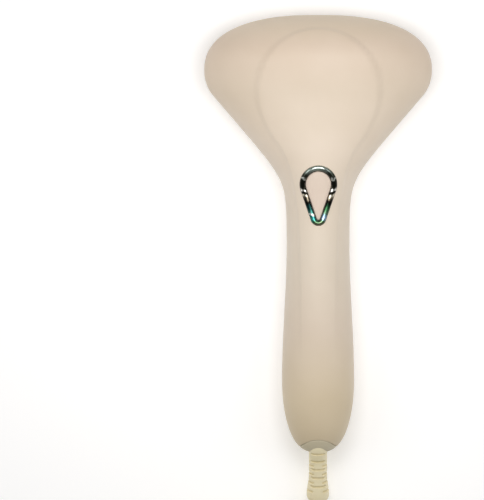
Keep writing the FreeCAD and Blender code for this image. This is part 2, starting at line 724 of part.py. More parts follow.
# ---------------------------------------------------------------------------------------------------
# Water tank, filler plug, pickup, pump and hoses
# ---------------------------------------------------------------------------------------------------
tank_low_y = size(from_heel("tank_foot_lift"))
tank_top_y = size(from_top("tank_top_drop"))
tank_front = outer.front_height(tank_low_y) - size("casing_wall + wire_channel")
filler_y = size(from_top("filler_drop"))


def tank_shape():
    """Blow-moulded tank that follows the handle, with a flat front for the wires and a filler neck."""
    gap = size("casing_wall + tank_gap")
    wall = size("tank_wall")
    body = back_of(between(Form(-gap).solid(), tank_low_y, tank_top_y), tank_front)
    inner = between(Form(-gap - wall).solid(), tank_low_y + wall, tank_top_y - wall)
    space = back_of(inner, tank_front - wall)
    neck_base = Vector(0, filler_y, size("filler_low"))
    neck = Part.makeCylinder(size("filler_radius"), size("filler_tall"), neck_base)
    mouth = Part.makeCylinder(size("filler_bore"), size("filler_tall") + 2.0, neck_base - Vector(0, 0, 1))
    hose_hole = Part.makeCylinder(size("hose_diameter/2 + fixed_gap/2"), 6.0,
                                  Vector(0, tank_top_y - 4.0, size("pump_height")), Vector(0, 1, 0))
    return body.cut(space).fuse(neck).cut([mouth, hose_hole]).removeSplitter()


subpart(feature("tank", tank_shape()), "water_tank")

PLUG_TOP = "(plug_flange_low + plug_flange_thick)"
FILLER_Y = from_top("filler_drop")
PLUG_BASE = ("0", FILLER_Y, "plug_flange_low")
plug_flange = cylinder("plug_flange", PLUG_BASE, "filler_radius - fixed_gap*2",
                       "plug_flange_thick - fixed_gap")
plug_stem = cylinder("plug_stem", PLUG_BASE, "filler_bore - moving_gap", "plug_stem_length")
plug_hollow = cylinder("plug_hollow", ("0", FILLER_Y, PLUG_TOP + " + 1"), "filler_bore - 2",
                       "plug_stem_length")
plug_tab = block("plug_tab", "0", FILLER_Y + " - filler_radius - 4", "plug_flange_low",
                 "plug_tab_wide", "6", "plug_flange_thick - fixed_gap*2")
fill_plug = cut("fill_plug", fuse("fill_plug", plug_flange, plug_stem, plug_tab), plug_hollow)
subpart(fill_plug, "fill_plug")

pump_low_y = size(from_top("(pump_drop + pump_length)"))
hose = size("hose_diameter")
tank_floor = size("parting_height") - Form(-size("casing_wall + tank_gap + tank_wall")).depth(tank_low_y)
pickup_y = tank_low_y + size("tank_wall") + 4.0
pickup_z = tank_floor + size("pickup_radius") + 3.0
suction_points = [Vector(0, pump_low_y, size("pump_height")),
                  Vector(0, tank_top_y - 12.0, size("pump_height")),
                  Vector(2.5, filler_y - 14.0, size("pump_height") + 3.0),
                  Vector(-2.0, (filler_y + pickup_y) / 2 - 8.0, size("pump_height") - 1.0),
                  Vector(0, pickup_y + size("pickup_length") + 8.0, pickup_z),
                  Vector(0, pickup_y + size("pickup_length"), pickup_z)]
hose_bore = hose - 2.0 * size("hose_wall")
subpart(feature("suction", tube(suction_points, hose, "suction hose", hose_bore)), "suction_hose")
weight = cylinder("weight", ("0", str(pickup_y), str(pickup_z)), "pickup_radius", "pickup_length", "y")
subpart(weight, "pickup_weight")

PUMP_LOW = from_top("(pump_drop + pump_length)")
pump_case = cylinder("pump_case", ("0", PUMP_LOW, "pump_height"), "pump_radius", "pump_length", "y")
pump_bore = cylinder("pump_bore", ("0", PUMP_LOW + " + pump_end", "pump_height"),
                     "piston_radius + fixed_gap/4", "pump_length - 2*pump_end", "y")
subpart(cut("pump_body", pump_case, pump_bore), "pump_body")
PISTON_LOW = PUMP_LOW + " + pump_end + piston_gap"
subpart(cylinder("piston", ("0", PISTON_LOW, "pump_height"), "piston_radius", "piston_length", "y"),
        "pump_piston")
piston_top = size(PISTON_LOW + " + piston_length")
bore_end = size(PUMP_LOW + " + pump_length - pump_end")
spring_end = 0.7
subpart(feature("pump_spring", coil_spring(size("piston_radius - 0.6"), 0.3,
                                           bore_end - piston_top - 2.0 * spring_end, 3,
                                           Vector(0, piston_top + spring_end, size("pump_height")),
                                           Vector(0, 1, 0))), "piston_spring")

VALVE_LOW = from_top("pump_drop")
subpart(cylinder("valve", ("0", VALVE_LOW, "pump_height"), "valve_radius", "valve_length", "y"),
        "check_valve")
valve_top = size(VALVE_LOW + " + valve_length")
boiler_foot = size("body_length/2 - frame_top_drop - frame_length + frame_rim + boiler_inset/2")
feed_start = Vector(0, valve_top, size("pump_height"))
feed, feed_bore = [Part.makeCylinder(across / 2, boiler_foot - valve_top, feed_start, Vector(0, 1, 0))
                   for across in (hose, hose_bore)]
subpart(feature("feed", feed.cut(feed_bore)), "feed_hose")

# ---------------------------------------------------------------------------------------------------
# Heel: end cap, strain relief, lead, clamp, terminals and wires
# ---------------------------------------------------------------------------------------------------
droop = math.radians(size("guard_droop"))
heading = Vector(0, -math.cos(droop), -math.sin(droop))
guard_start = heel_axis + Vector(0, -size("guard_sunk"), 0)
guard_end = guard_start + heading * size("guard_length")
turn_to_guard = Rotation(Vector(0, 0, 1), heading)


def end_cap_shape():
    """Round insert flush with the heel, bored along the strain relief's axis."""
    plug = along_heel(size("cap_radius"), 30.0).common(outer_solid)
    bore = Part.makeCylinder(size("guard_radius + fixed_gap/2"), 60.0, guard_start - heading * 20, heading)
    return plug.cut(bore)


subpart(feature("heel_insert", end_cap_shape()), "cord_end_cap")


def strain_relief_body():
    """Moulded rubber sleeve: straight, flared at its end, with slots that leave it flexible."""
    body = doc.addObject("PartDesign::Body", "sleeve")
    profile = sketch_on(body, "sleeve_profile", "XZ_Plane")
    bore = "(lead_diameter/2 + lead_gap)"
    draw_polygon(profile, [(bore, "0"), ("guard_radius", "0"), ("guard_radius", "guard_length - 7"),
                           ("guard_flare", "guard_length - 5"), ("guard_flare", "guard_length - 1.5"),
                           ("guard_flare - 1.2", "guard_length"), (bore, "guard_length")])
    turned = body.newObject("PartDesign::Revolution", "sleeve_turned")
    turned.Profile = profile
    turned.ReferenceAxis = (profile, ["V_Axis"])
    turned.Angle = 360.0
    doc.recompute()
    slot_count = 5
    for side, role, shift in (("front", "XZ_Plane", "0"), ("right", "YZ_Plane", "slot_pitch/2")):
        drawing = sketch_on(body, side + "_slot", role)
        low = "guard_length - 10.4 - %s" % shift
        high = low + " + slot_wide"
        for sign in ("", "-"):
            floor, beyond = "%s(guard_radius - slot_depth)" % sign, "%s(guard_radius + 3)" % sign
            draw_polygon(drawing, [(floor, low), (beyond, low), (beyond, high), (floor, high)])
        slot = body.newObject("PartDesign::Pocket", side + "_slots")
        slot.Profile = drawing
        slot.Midplane = True
        bind(slot, "Length", "guard_radius*4")
        doc.recompute()
        repeat = body.newObject("PartDesign::LinearPattern", side + "_slot_row")
        repeat.Originals = [slot]
        repeat.Direction = (drawing, ["V_Axis"])
        repeat.Reversed = True
        bind(repeat, "Length", "slot_pitch*%d" % (slot_count - 1))
        repeat.Occurrences = slot_count
        body.Tip = repeat
        doc.recompute()
    body.Placement = Placement(guard_start, turn_to_guard)
    return body


subpart(strain_relief_body(), "strain_relief")

lead = size("lead_diameter")
floor_height = lead / 2 + 0.1
fall = (guard_end.z - floor_height) / math.sin(droop)
ring_half = size("coil_columns") * lead / 2
ring_outer = size("coil_middle") + ring_half
tangent_x = size("coil_x") + size("coil_middle") + ring_half - lead / 2
meet_y = size("coil_y") + math.sqrt(ring_outer ** 2 - (ring_outer - lead / 2) ** 2)
touch_down = guard_end + heading * fall
first_run = 17.6
lead_points = [guard_end - heading * (first_run - fall), touch_down,
               Vector(tangent_x + 1.2, (touch_down.y + meet_y) / 2 - 1.0, floor_height),
               Vector(tangent_x, meet_y, floor_height)]
subpart(feature("lead", tube(lead_points, lead, "power cord")), "power_cord")

coil_tall = "(coil_layers*lead_diameter + 0.3)"
RING_IN = "(coil_middle - coil_columns*lead_diameter/2)"
RING_OUT = "(coil_middle + coil_columns*lead_diameter/2)"
coil_disc = cylinder("coil_disc", ("coil_x", "coil_y", "0"), RING_OUT, coil_tall)
coil_eye = cylinder("coil_eye", ("coil_x", "coil_y", "-1"), RING_IN, coil_tall + " + 2")
TIE_GAP = "(tie_thick + fixed_gap/2)"
tie_notch = block("tie_notch", "coil_x - coil_middle", "coil_y - tie_width/2 - 0.2", "-1",
                  "coil_columns*lead_diameter + 4", "tie_width + 0.4", "1 + " + TIE_GAP)
subpart(cut("cord_coil", coil_disc, coil_eye, tie_notch), "cord_coil")
tie_out = block("tie_out", "coil_x - coil_middle", "coil_y - tie_width/2", "0",
                "coil_columns*lead_diameter + 2*tie_thick + 1.5", "tie_width",
                coil_tall + " + tie_thick + 0.2")
tie_in = block("tie_in", "coil_x - coil_middle", "coil_y - tie_width/2 - 1", "tie_thick",
               "coil_columns*lead_diameter + 1.5", "tie_width + 2", coil_tall + " + 0.2 - tie_thick")
subpart(cut("coil_tie", tie_out, tie_in), "coil_tie")

PLUG_Y = "(coil_y - coil_middle)"
PLUG_RIGHT = "(coil_x + plug_tail)"
plug_case = block("plug_case", PLUG_RIGHT + " - plug_long/2", PLUG_Y + " - plug_wide/2", coil_tall,
                  "plug_long", "plug_wide", "plug_tall")
doc.recompute()
plug_round = doc.addObject("Part::Fillet", "plug_round")
plug_round.Base = plug_case
corner = size("plug_corner")
plug_round.Edges = [(int(name[4:]), corner, corner) for name in upright_edges(plug_case.Shape)]
plug_tail = primitive("Cone", "tail_cone", (PLUG_RIGHT + " - 1", PLUG_Y, coil_tall + " + plug_tall/2"), "x",
                      Radius1="6", Radius2="lead_diameter/2 + 0.8", Height="plug_tail + 1")
subpart(fuse("plug_body", plug_round, plug_tail), "plug_body")
pins = [cylinder("pin%d" % number, (PLUG_RIGHT + " - plug_long - pin_length", PLUG_Y + shift,
                                    coil_tall + " + plug_tall/2"), "pin_radius", "pin_length", "x")
        for number, shift in enumerate((" - pin_spacing/2", " + pin_spacing/2"))]
subpart(group("plug_pins", *pins), "plug_pins")

CLAMP_Y = from_heel("tank_foot_lift - 16.5")
clamp_bar = block("clamp_bar", "0", CLAMP_Y, "exit_height + 4.2", "13", "4", "3")
subpart(clamp_bar, "cord_clamp")
clamp_screws = []
for number, side in enumerate(("-", "")):
    head_at = ("%s4.2" % side, CLAMP_Y + " + 2", "exit_height + 7.2")
    clamp_screws.append(cylinder("clamp_screw%d" % number, head_at, "1.8", "1.4"))
subpart(group("clamp_screws", *clamp_screws), "clamp_screws")

TERMINAL_Y = from_heel("tank_foot_lift - 11")
terminals = block("terminals", "0", TERMINAL_Y, "exit_height + 8", "12", "5.5", "3.6")
subpart(terminals, "terminal_block")

wire = size("wire_diameter")
channel_z = tank_front + size("wire_channel") / 2 + 0.2
terminal_y = size(TERMINAL_Y) + 5.5
terminal_z = size("exit_height") + 9.8
board_end_y = size(board_foot)
board_head_y = board_end_y + size("board_length")
wire_on_board = board_top + wire / 2 + 0.1


def handle_wire(across):
    """One conductor from the terminals, along the tank's flat front, down to the board."""
    return tube([Vector(across, terminal_y, terminal_z), Vector(across, terminal_y + 1.5, terminal_z),
                 Vector(across, terminal_y + 5.5, channel_z), Vector(across, tank_top_y + 1.0, channel_z),
                 Vector(across, board_end_y - 1.0, wire_on_board),
                 Vector(across, board_end_y + 4.0, wire_on_board)], wire, "mains wire")


def heater_wire(side):
    """One conductor from the board to an end of the heating element."""
    element_end = heater_points[0] if side < 0 else heater_points[-1]
    return tube([Vector(side * 7.0, board_head_y - 6.0, wire_on_board),
                 Vector(side * 7.0, board_head_y + 2.2, wire_on_board),
                 Vector(element_end.x, element_end.y - 3.0, element_end.z),
                 Vector(element_end.x, element_end.y - 0.8, element_end.z)], wire, "heater wire")


subpart(feature("handle_wires", Part.makeCompound([handle_wire(-1.6), handle_wire(1.6)])), "mains_wires")
subpart(feature("head_wires", Part.makeCompound([heater_wire(-1), heater_wire(1)])), "heater_wires")


def shell_screw(spot):
    """Self-tapping screw from the back: head in the sunk seat, shank through to the front boss."""
    seat = parting - size("screw_seat")
    head = boss(spot, size("screw_head_radius"), seat - size("screw_head_tall"), seat)
    shank = boss(spot, size("screw_radius - fixed_gap/4"), seat - 1.0, seat + size("screw_length"))
    return head.fuse(shank)


casing_screws = Part.makeCompound([shell_screw(spot) for spot in screw_spots])
subpart(feature("casing_screws", casing_screws), "shell_screws")

# ---------------------------------------------------------------------------------------------------
# Check every object and write every sub-part
# ---------------------------------------------------------------------------------------------------
doc.recompute()
broken = [item.Label for item in doc.Objects if {"Invalid", "Error"} & set(item.State)]
for piece in SUBPARTS:
    if piece.Shape.isNull() or not piece.Shape.isValid():
        broken.append(piece.Label)
if broken:
    raise RuntimeError("failed objects: " + ", ".join(broken))
for piece in SUBPARTS:
    piece.Shape.exportStep("parts/%s.step" % piece.Label)
print("%d sub-parts written" % len(SUBPARTS))
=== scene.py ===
# %% [markdown]
# # A handheld garment steamer
# The steamer lies on its back on a pale table: fan-shaped steam head, slim grip, teardrop button in a
# mirror-plated ring, ribbed sleeve on the lead, and the lead put away in a coil.
# The mechanical model comes first and stays fixed. Everything below is skin, finish and light around it.

# %% Load the mechanical frame
import bmesh
import bpy
import math
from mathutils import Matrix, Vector


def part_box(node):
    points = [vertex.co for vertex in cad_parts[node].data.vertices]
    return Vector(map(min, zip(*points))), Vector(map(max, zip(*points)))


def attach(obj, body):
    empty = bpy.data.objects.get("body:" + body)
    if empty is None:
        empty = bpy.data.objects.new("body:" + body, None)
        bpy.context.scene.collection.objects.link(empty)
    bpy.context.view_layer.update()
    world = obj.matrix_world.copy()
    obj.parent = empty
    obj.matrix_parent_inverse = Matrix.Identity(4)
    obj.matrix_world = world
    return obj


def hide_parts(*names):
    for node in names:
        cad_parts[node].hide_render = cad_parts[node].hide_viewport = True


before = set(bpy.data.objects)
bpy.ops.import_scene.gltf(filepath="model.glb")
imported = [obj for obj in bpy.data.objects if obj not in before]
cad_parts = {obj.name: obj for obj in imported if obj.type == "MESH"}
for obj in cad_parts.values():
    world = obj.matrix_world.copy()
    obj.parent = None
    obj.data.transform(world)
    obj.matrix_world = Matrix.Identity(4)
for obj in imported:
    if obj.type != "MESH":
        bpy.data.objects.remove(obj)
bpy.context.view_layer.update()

# %% [markdown]
# ## Small tools
# Sizes are written in millimetres, as on a drawing, and turned to metres where a mesh is made.
# Colours are written as sRGB hex values, and one function turns them to the linear values that shaders use.

# %% Units, colours and nodes
MM = 0.001


def linear(hex_colour):
    """sRGB hex such as #DCC9B0 as a linear RGBA tuple."""
    channels = []
    for place in (1, 3, 5):
        value = int(hex_colour[place:place + 2], 16) / 255.0
        channels.append(value / 12.92 if value <= 0.04045 else ((value + 0.055) / 1.055) ** 2.4)
    return (*channels, 1.0)


def add_node(material, kind, settings=None, inputs=None, links=None):
    """One shader node, with its settings, its unlinked inputs, and links as input name: output socket."""
    node = material.node_tree.nodes.new(kind)
    for name, value in (settings or {}).items():
        setattr(node, name, value)
    for name, value in (inputs or {}).items():
        node.inputs[name].default_value = value
    for name, socket in (links or {}).items():
        material.node_tree.links.new(socket, node.inputs[name])
    return node


def new_material(name, base, roughness, metallic=0.0, ior=1.5, **more):
    """Material with one Principled shader; more holds further sockets by their name with underscores."""
    material = bpy.data.materials.new(name)
    material.use_nodes = True
    shader = material.node_tree.nodes["Principled BSDF"]
    shader.inputs["Base Color"].default_value = linear(base)
    shader.inputs["Roughness"].default_value = roughness
    shader.inputs["Metallic"].default_value = metallic
    shader.inputs["IOR"].default_value = ior
    for name_, value in more.items():
        shader.inputs[name_.replace("_", " ").title().replace("Ior", "IOR")].default_value = value
    return material, shader


def plug_in(material, socket, node_input):
    material.node_tree.links.new(socket, node_input)


def own_place(material):
    """Coordinates in the piece's own frame."""
    return add_node(material, "ShaderNodeTexCoord").outputs["Object"]


def noise(material, grain_mm, detail, place=None):
    """Noise whose cell is grain_mm across."""
    return add_node(material, "ShaderNodeTexNoise", inputs={"Scale": 1.0 / (grain_mm * MM), "Detail": detail},
                    links={"Vector": place or own_place(material)}).outputs["Fac"]


def add_bump(material, shader, height, strength, depth):
    """Relief from a height, depth metres deep."""
    bump = add_node(material, "ShaderNodeBump", inputs={"Strength": strength, "Distance": depth},
                    links={"Height": height})
    plug_in(material, bump.outputs["Normal"], shader.inputs["Normal"])


def colour_ramp(material, share, bands):
    """Colour for a share from 0 to 1, through (position, colour) pairs."""
    ramp = add_node(material, "ShaderNodeValToRGB", links={"Fac": share})
    elements = ramp.color_ramp.elements
    while len(elements) < len(bands):
        elements.new(0.5)
    for element, (position, colour) in zip(elements, bands):
        element.position = position
        element.color = linear(colour)
    return ramp.outputs["Color"]


# %% [markdown]
# Meshes are made from lists of points and faces. Most pieces here are skins through rows of points, as a
# lofted surface is in a drawing program, so one function gives the faces of any such grid. Openings are cut
# with Booleans, the way a mill opens a moulding, because that keeps the skin's own rows regular.

# %% Meshes
def mesh_object(name, points_mm, faces, material, body="casing", smooth_angle=35.0):
    """Object from points in millimetres, shaded smooth but for its sharp edges, riding on a body."""
    mesh = bpy.data.meshes.new(name)
    mesh.from_pydata([Vector(point) * MM for point in points_mm], [], faces)
    mesh.validate()
    mesh.update()
    piece = bpy.data.objects.new(name, mesh)
    bpy.context.scene.collection.objects.link(piece)
    mesh.materials.append(material)
    face_outward(mesh)
    mesh.polygons.foreach_set("use_smooth", [True] * len(mesh.polygons))
    mesh.set_sharp_from_angle(angle=math.radians(smooth_angle))
    if body:
        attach(piece, body)
    return piece


def face_outward(mesh):
    """All normals outward."""
    work = bmesh.new()
    work.from_mesh(mesh)
    bmesh.ops.recalc_face_normals(work, faces=work.faces)
    work.to_mesh(mesh)
    work.free()


def grid_faces(rows, columns, closed_rows=False, closed_columns=False, start=0):
    """Quads over a grid of points stored row by row."""
    faces = []
    for row in range(rows if closed_rows else rows - 1):
        for column in range(columns if closed_columns else columns - 1):
            below = (row + 1) % rows
            beside = (column + 1) % columns
            faces.append((start + row * columns + column, start + row * columns + beside,
                          start + below * columns + beside, start + below * columns + column))
    return faces


def closed_skin(points, sides, top_down=True):
    """Faces over rings of points, each of so many sides, with a face on both ends."""
    ends = [tuple(range(sides)), tuple(range(len(points) - sides, len(points)))]
    backward = 1 if top_down else 0
    ends[backward] = tuple(reversed(ends[backward]))
    return grid_faces(len(points) // sides, sides, closed_columns=True) + ends


def round_point(radius, angle, along=0.0):
    """Point on a circle round Z, at a height along it."""
    return Vector((radius * math.cos(angle), radius * math.sin(angle), along))


def carve(piece, *cutters):
    """Cut other meshes out of a piece, and throw them away."""
    for cutter in cutters:
        step = piece.modifiers.new("carve", "BOOLEAN")
        step.operation = "DIFFERENCE"
        step.solver = "EXACT"
        step.object = cutter
        bpy.context.view_layer.update()
        graph = bpy.context.evaluated_depsgraph_get()
        carved = bpy.data.meshes.new_from_object(piece.evaluated_get(graph))
        piece.modifiers.clear()
        old = piece.data
        piece.data = carved
        bpy.data.meshes.remove(old)
        bpy.data.objects.remove(cutter)
    piece.data.set_sharp_from_angle(angle=math.radians(35.0))
    return piece


# %% [markdown]
# ## Camera, light and table
# The steamer is seen straight from its front, with a long lens from far off, so that the raised ring and
# the outline below it keep their true places. A zoom lens on a copy stand would do the same. The lens
# follows from the height, so the frame covers the same stretch of table from any distance.

# %% Camera
scene = bpy.context.scene
CAMERA_HEIGHT = 4.5
FRAME_TALL = 280.0
FRAME_MIDDLE = (-0.0426, -0.0092)
outline_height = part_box("front_shell")[0][2]
camera_data = bpy.data.cameras.new("camera")
camera_data.sensor_width = 36.0
camera_data.lens = camera_data.sensor_width * CAMERA_HEIGHT / (FRAME_TALL * MM)
camera = bpy.data.objects.new("camera", camera_data)
camera.location = (*FRAME_MIDDLE, outline_height + CAMERA_HEIGHT)
camera.rotation_euler = (0.0, 0.0, 0.0)
scene.collection.objects.link(camera)
scene.camera = camera
scene.view_settings.view_transform = "Standard"
print("lens %.0f mm, frame %.0f mm tall" % (camera_data.lens, FRAME_TALL))

# %% [markdown]
# One soft box hangs close over the head's lower edge. Being close, it lights the middle most and fades to
# the top of the head and to the heel, and its shadow spreads to both sides. Two wide boxes at the sides
# keep the wings of the head from going dull, and the room's own light fills the rest.

# %% Lights
KEY_WATTS, SIDE_WATTS, ROOM_STRENGTH = 0.58, 1.35, 0.37


def soft_light(name, place, aim, wide, tall, watts, tint):
    """Rectangular soft box at a place, turned to an aim point."""
    data = bpy.data.lights.new(name, "AREA")
    data.shape = "RECTANGLE"
    data.size = wide
    data.size_y = tall
    data.energy = watts
    data.color = linear(tint)[:3]
    lamp = bpy.data.objects.new(name, data)
    lamp.location = place
    lamp.rotation_euler = (Vector(aim) - Vector(place)).to_track_quat("-Z", "Y").to_euler()
    lamp.visible_camera = False
    scene.collection.objects.link(lamp)


soft_light("key_box", (0.0, 0.060, 0.35), (0.0, 0.052, 0.0), 0.20, 0.16, KEY_WATTS, "#FFFCFA")
for name, side in (("left_box", -1), ("right_box", 1)):
    soft_light(name, (side * 0.65, 0.04, 0.62), (0.0, 0.03, 0.0), 0.4, 0.6, SIDE_WATTS, "#FFFFFF")
world = bpy.data.worlds.new("studio")
world.use_nodes = True
world.node_tree.nodes["Background"].inputs["Color"].default_value = linear("#FFFEFC")
world.node_tree.nodes["Background"].inputs["Strength"].default_value = ROOM_STRENGTH
scene.world = world

# %% [markdown]
# The table is a white laminate sheet, nearly paper white. A lit opal sheet gives that in a studio, so the
# laminate glows a little itself and keeps the shadows soft and pale.

# %% Table
TABLE_GLOW = 0.26
table_finish, table_shader = new_material("white_laminate", "#F3F3F3", 0.6, emission_strength=TABLE_GLOW,
                                          emission_color=(1, 1, 1, 1))
table_grain = add_node(table_finish, "ShaderNodeTexNoise", inputs={"Scale": 900.0, "Detail": 3.0})
add_bump(table_finish, table_shader, table_grain.outputs["Fac"], 0.05, 0.0001)
table_half = 3000.0
table_top = -0.05
table = mesh_object("table", [(-table_half, -table_half, table_top), (table_half, -table_half, table_top),
                              (table_half, table_half, table_top), (-table_half, table_half, table_top)],
                    [(0, 1, 2, 3)], table_finish, body=None)
print("table top at %.2f mm" % table_top)

# %% [markdown]
# ## Finishes
# The casing is moulded ABS under a soft-touch coat: a rubbery matte lacquer that scatters light, so
# its highlights are wide and weak and its edges look a little lighter. The sleeve and lead are plasticised
# PVC in a yellower shade of the same beige. The ring is ABS plated like a mirror with an oil-slick film.

# %% Soft-touch plastic
def grain_bump(material, shader, grain_mm, depth_mm, strength):
    """Fine moulded or sprayed grain, depth_mm deep."""
    add_bump(material, shader, noise(material, grain_mm, 2.0), strength, depth_mm * MM)


def mottle(material, shader, light, dark, patch_mm):
    """Colour that drifts between two close shades in patches of patch_mm."""
    colour = colour_ramp(material, noise(material, patch_mm, 3.0), ((0.3, dark), (0.7, light)))
    plug_in(material, colour, shader.inputs["Base Color"])
    return colour


def soft_touch(name, light, dark, bands=None):
    """ABS with a sprayed soft-touch coat: fine sprayed grain, wide weak highlight, faint sheen. Bands, when
    given, paint light and shade along the body.
    """
    material, shader = new_material(name, light, 0.52, ior=1.49, sheen_weight=0.12, sheen_roughness=0.5)
    cloud = mottle(material, shader, light, dark, 22.0)
    grain_bump(material, shader, 0.35, 0.012, 0.35)
    if bands:
        # Painted light and shade: a colour that changes along the body multiplies the mottle.
        axes = add_node(material, "ShaderNodeSeparateXYZ", links={"Vector": own_place(material)})
        along = add_node(material, "ShaderNodeMapRange",
                         inputs={"From Min": -CASING_HALF_LONG, "From Max": CASING_HALF_LONG},
                         links={"Value": axes.outputs["Y"]})
        coat = colour_ramp(material, along.outputs["Result"], bands)
        mixed = add_node(material, "ShaderNodeMixRGB", {"blend_type": "MULTIPLY"}, {"Fac": 1.0},
                         {"Color1": coat, "Color2": cloud})
        plug_in(material, mixed.outputs["Color"], shader.inputs["Base Color"])
    return material


# Painted light and shade along the body, from the heel, at 0, to the top of the head, at 1: painted shade
# makes the coat darker and yellower towards the heel, and painted light makes it lightest at the very top of
# the head. It was chosen by measure to give the even look wanted under these lights, and is not a known
# property of the coat.
CASING_HALF_LONG = 0.1225
COAT_PAINTED_SHADING = ((0.05, "#D3C3A6"), (0.12, "#D3C3A7"), (0.28, "#D6C7B5"), (0.44, "#D9CDBC"),
              (0.69, "#DCCEBD"), (0.82, "#D6C7B4"), (0.93, "#DBC9B6"), (0.99, "#E3D2BB"))
casing_finish = soft_touch("soft_touch_abs", "#FFFFFF", "#FBFAF8", COAT_PAINTED_SHADING)
button_finish = soft_touch("soft_touch_abs_button", "#D6C6B7", "#D3C2B2")
# The round insert gets a darker shade of the sleeve's beige: painted shade at the heel end, above the sleeve.
cap_finish_painted_shade = soft_touch("soft_touch_abs_cap_painted_shade", "#CFC6AC", "#C9BFA4")

# %% [markdown]
# The other plastics and rubbers come out of spark-eroded moulds, which leave an even, fine grain. One
# function gives them all a mottle and a grain; each has its own colour, gloss and refractive index.

# %% PVC, silicone and dark plastics
def moulded(name, light, dark, roughness, grain_mm=0.5, depth_mm=0.02, ior=1.5, **more):
    """Moulded plastic or rubber with a spark-eroded grain."""
    material, shader = new_material(name, light, roughness, ior=ior, **more)
    mottle(material, shader, light, dark, 9.0)
    grain_bump(material, shader, grain_mm, depth_mm, 0.4)
    return material


sleeve_finish = moulded("plasticised_pvc_sleeve", "#EFE4C2", "#E7DCB6", 0.48, ior=1.53)
lead_finish = moulded("plasticised_pvc_sheath", "#D9CFB4", "#D2C7A9", 0.42, 0.4, 0.01, ior=1.53)
silicone_finish = moulded("silicone_rubber", "#D8CDBB", "#D2C6B2", 0.55, ior=1.41)
frame_finish = moulded("glass_filled_nylon", "#5B534B", "#514A43", 0.5, 0.6, 0.03)
black_finish = moulded("black_pbt", "#151517", "#1B1B1D", 0.45, 0.5, 0.02)
wire_finish = moulded("silicone_wire", "#C9C4B8", "#BDB7AA", 0.5)
tank_finish, tank_shader = new_material("clear_copolyester", "#E9EEF0", 0.12, ior=1.57,
                                        transmission_weight=0.7)
grain_bump(tank_finish, tank_shader, 4.0, 0.05, 0.2)

# %% [markdown]
# Metals show how they were worked: rolled and brushed sheet has lines one way, castings have a round grain.
# A noise stretched along the working direction gives both its colour and its relief.

# %% Metals
def metal(name, light, dark, roughness, grain_mm, depth_mm, stretch=(1.0, 1.0, 1.0)):
    """Bare metal: colour from its reflectance, grain stretched along the way it was worked."""
    material, shader = new_material(name, light, roughness, metallic=1.0)
    along = add_node(material, "ShaderNodeMapping", inputs={"Scale": stretch},
                     links={"Vector": own_place(material)})
    grain = noise(material, grain_mm, 4.0, along.outputs["Vector"])
    plug_in(material, colour_ramp(material, grain, ((0.0, dark), (1.0, light))), shader.inputs["Base Color"])
    add_bump(material, shader, grain, 0.5, depth_mm * MM)
    return material


plate_finish = metal("brushed_anodised_aluminium", "#D3D0CB", "#B9B6B1", 0.32, 0.35, 0.01, (1.0, 0.04, 1.0))
cast_finish = metal("die_cast_aluminium", "#B9B9BB", "#A2A2A5", 0.5, 0.8, 0.05)
steel_finish = metal("stainless_steel", "#B7B5B2", "#A3A19E", 0.3, 0.5, 0.01)
zinc_finish = metal("zinc_plated_steel", "#B9BEC2", "#A1A7AD", 0.35, 0.6, 0.02)
pin_finish = metal("nickel_plated_brass", "#C9C4B7", "#B9B3A5", 0.2, 1.0, 0.004)
sheet_finish = metal("rolled_aluminium", "#D0D0D2", "#BDBDC0", 0.28, 0.4, 0.01, (0.05, 1.0, 1.0))

# %% [markdown]
# The control board is glass-fibre laminate under a green solder mask, a little cloudy from the weave below.

# %% Board laminate
board_finish, board_shader = new_material("glass_epoxy_laminate", "#1F5B34", 0.35, ior=1.55)
mottle(board_finish, board_shader, "#24663B", "#1B5130", 1.2)

# %% [markdown]
# ## Casing shape
# On the real object the two halves are injection moulded, and their outside is one flowing surface.
# It could be sculpted, or built from a cage of a few quads under a subdivision surface. Here each cross
# section is a superellipse whose width, rise and depth follow smooth formulas of its station along
# the body, because the same formulas shaped the mechanical model, so skin and mechanism agree.

# %% Outline and side view
WALL = 2.2
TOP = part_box("front_shell")[1][1] / MM + 0.12
HEEL = -TOP
PARTING = outline_height / MM
HEAD_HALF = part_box("front_shell")[1][0] / MM
NECK_HALF, GRIP_HALF = 17.6, 20.2
WIDE_Y, NECK_Y, GRIP_Y, NOSE_Y = TOP - 31.5, TOP - 128.5, HEEL + 40.5, TOP - 24.5
SHOULDER, FLANK_ANGLE, FLANK_SOFTNESS = 21.5, math.radians(40.7), 5.0
HEAD_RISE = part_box("front_shell")[1][2] / MM - PARTING
HANDLE_RISE, HEEL_RISE = 20.0, 18.5
HEAD_DEPTH, HANDLE_DEPTH, HEEL_DEPTH = 18.8, 16.0, 20.0
FRONT_CROWN, HANDLE_BACK, HEAD_BACK = 2.1, 2.2, 4.0


def rounded_end(share, along=2.0, across=2.0):
    share = min(max(share, 0.0), 1.0)
    return (1.0 - share ** along) ** (1.0 / across)


def blend(value, start, end):
    share = min(max((value - start) / (end - start), 0.0), 1.0)
    return share * share * (3.0 - 2.0 * share)


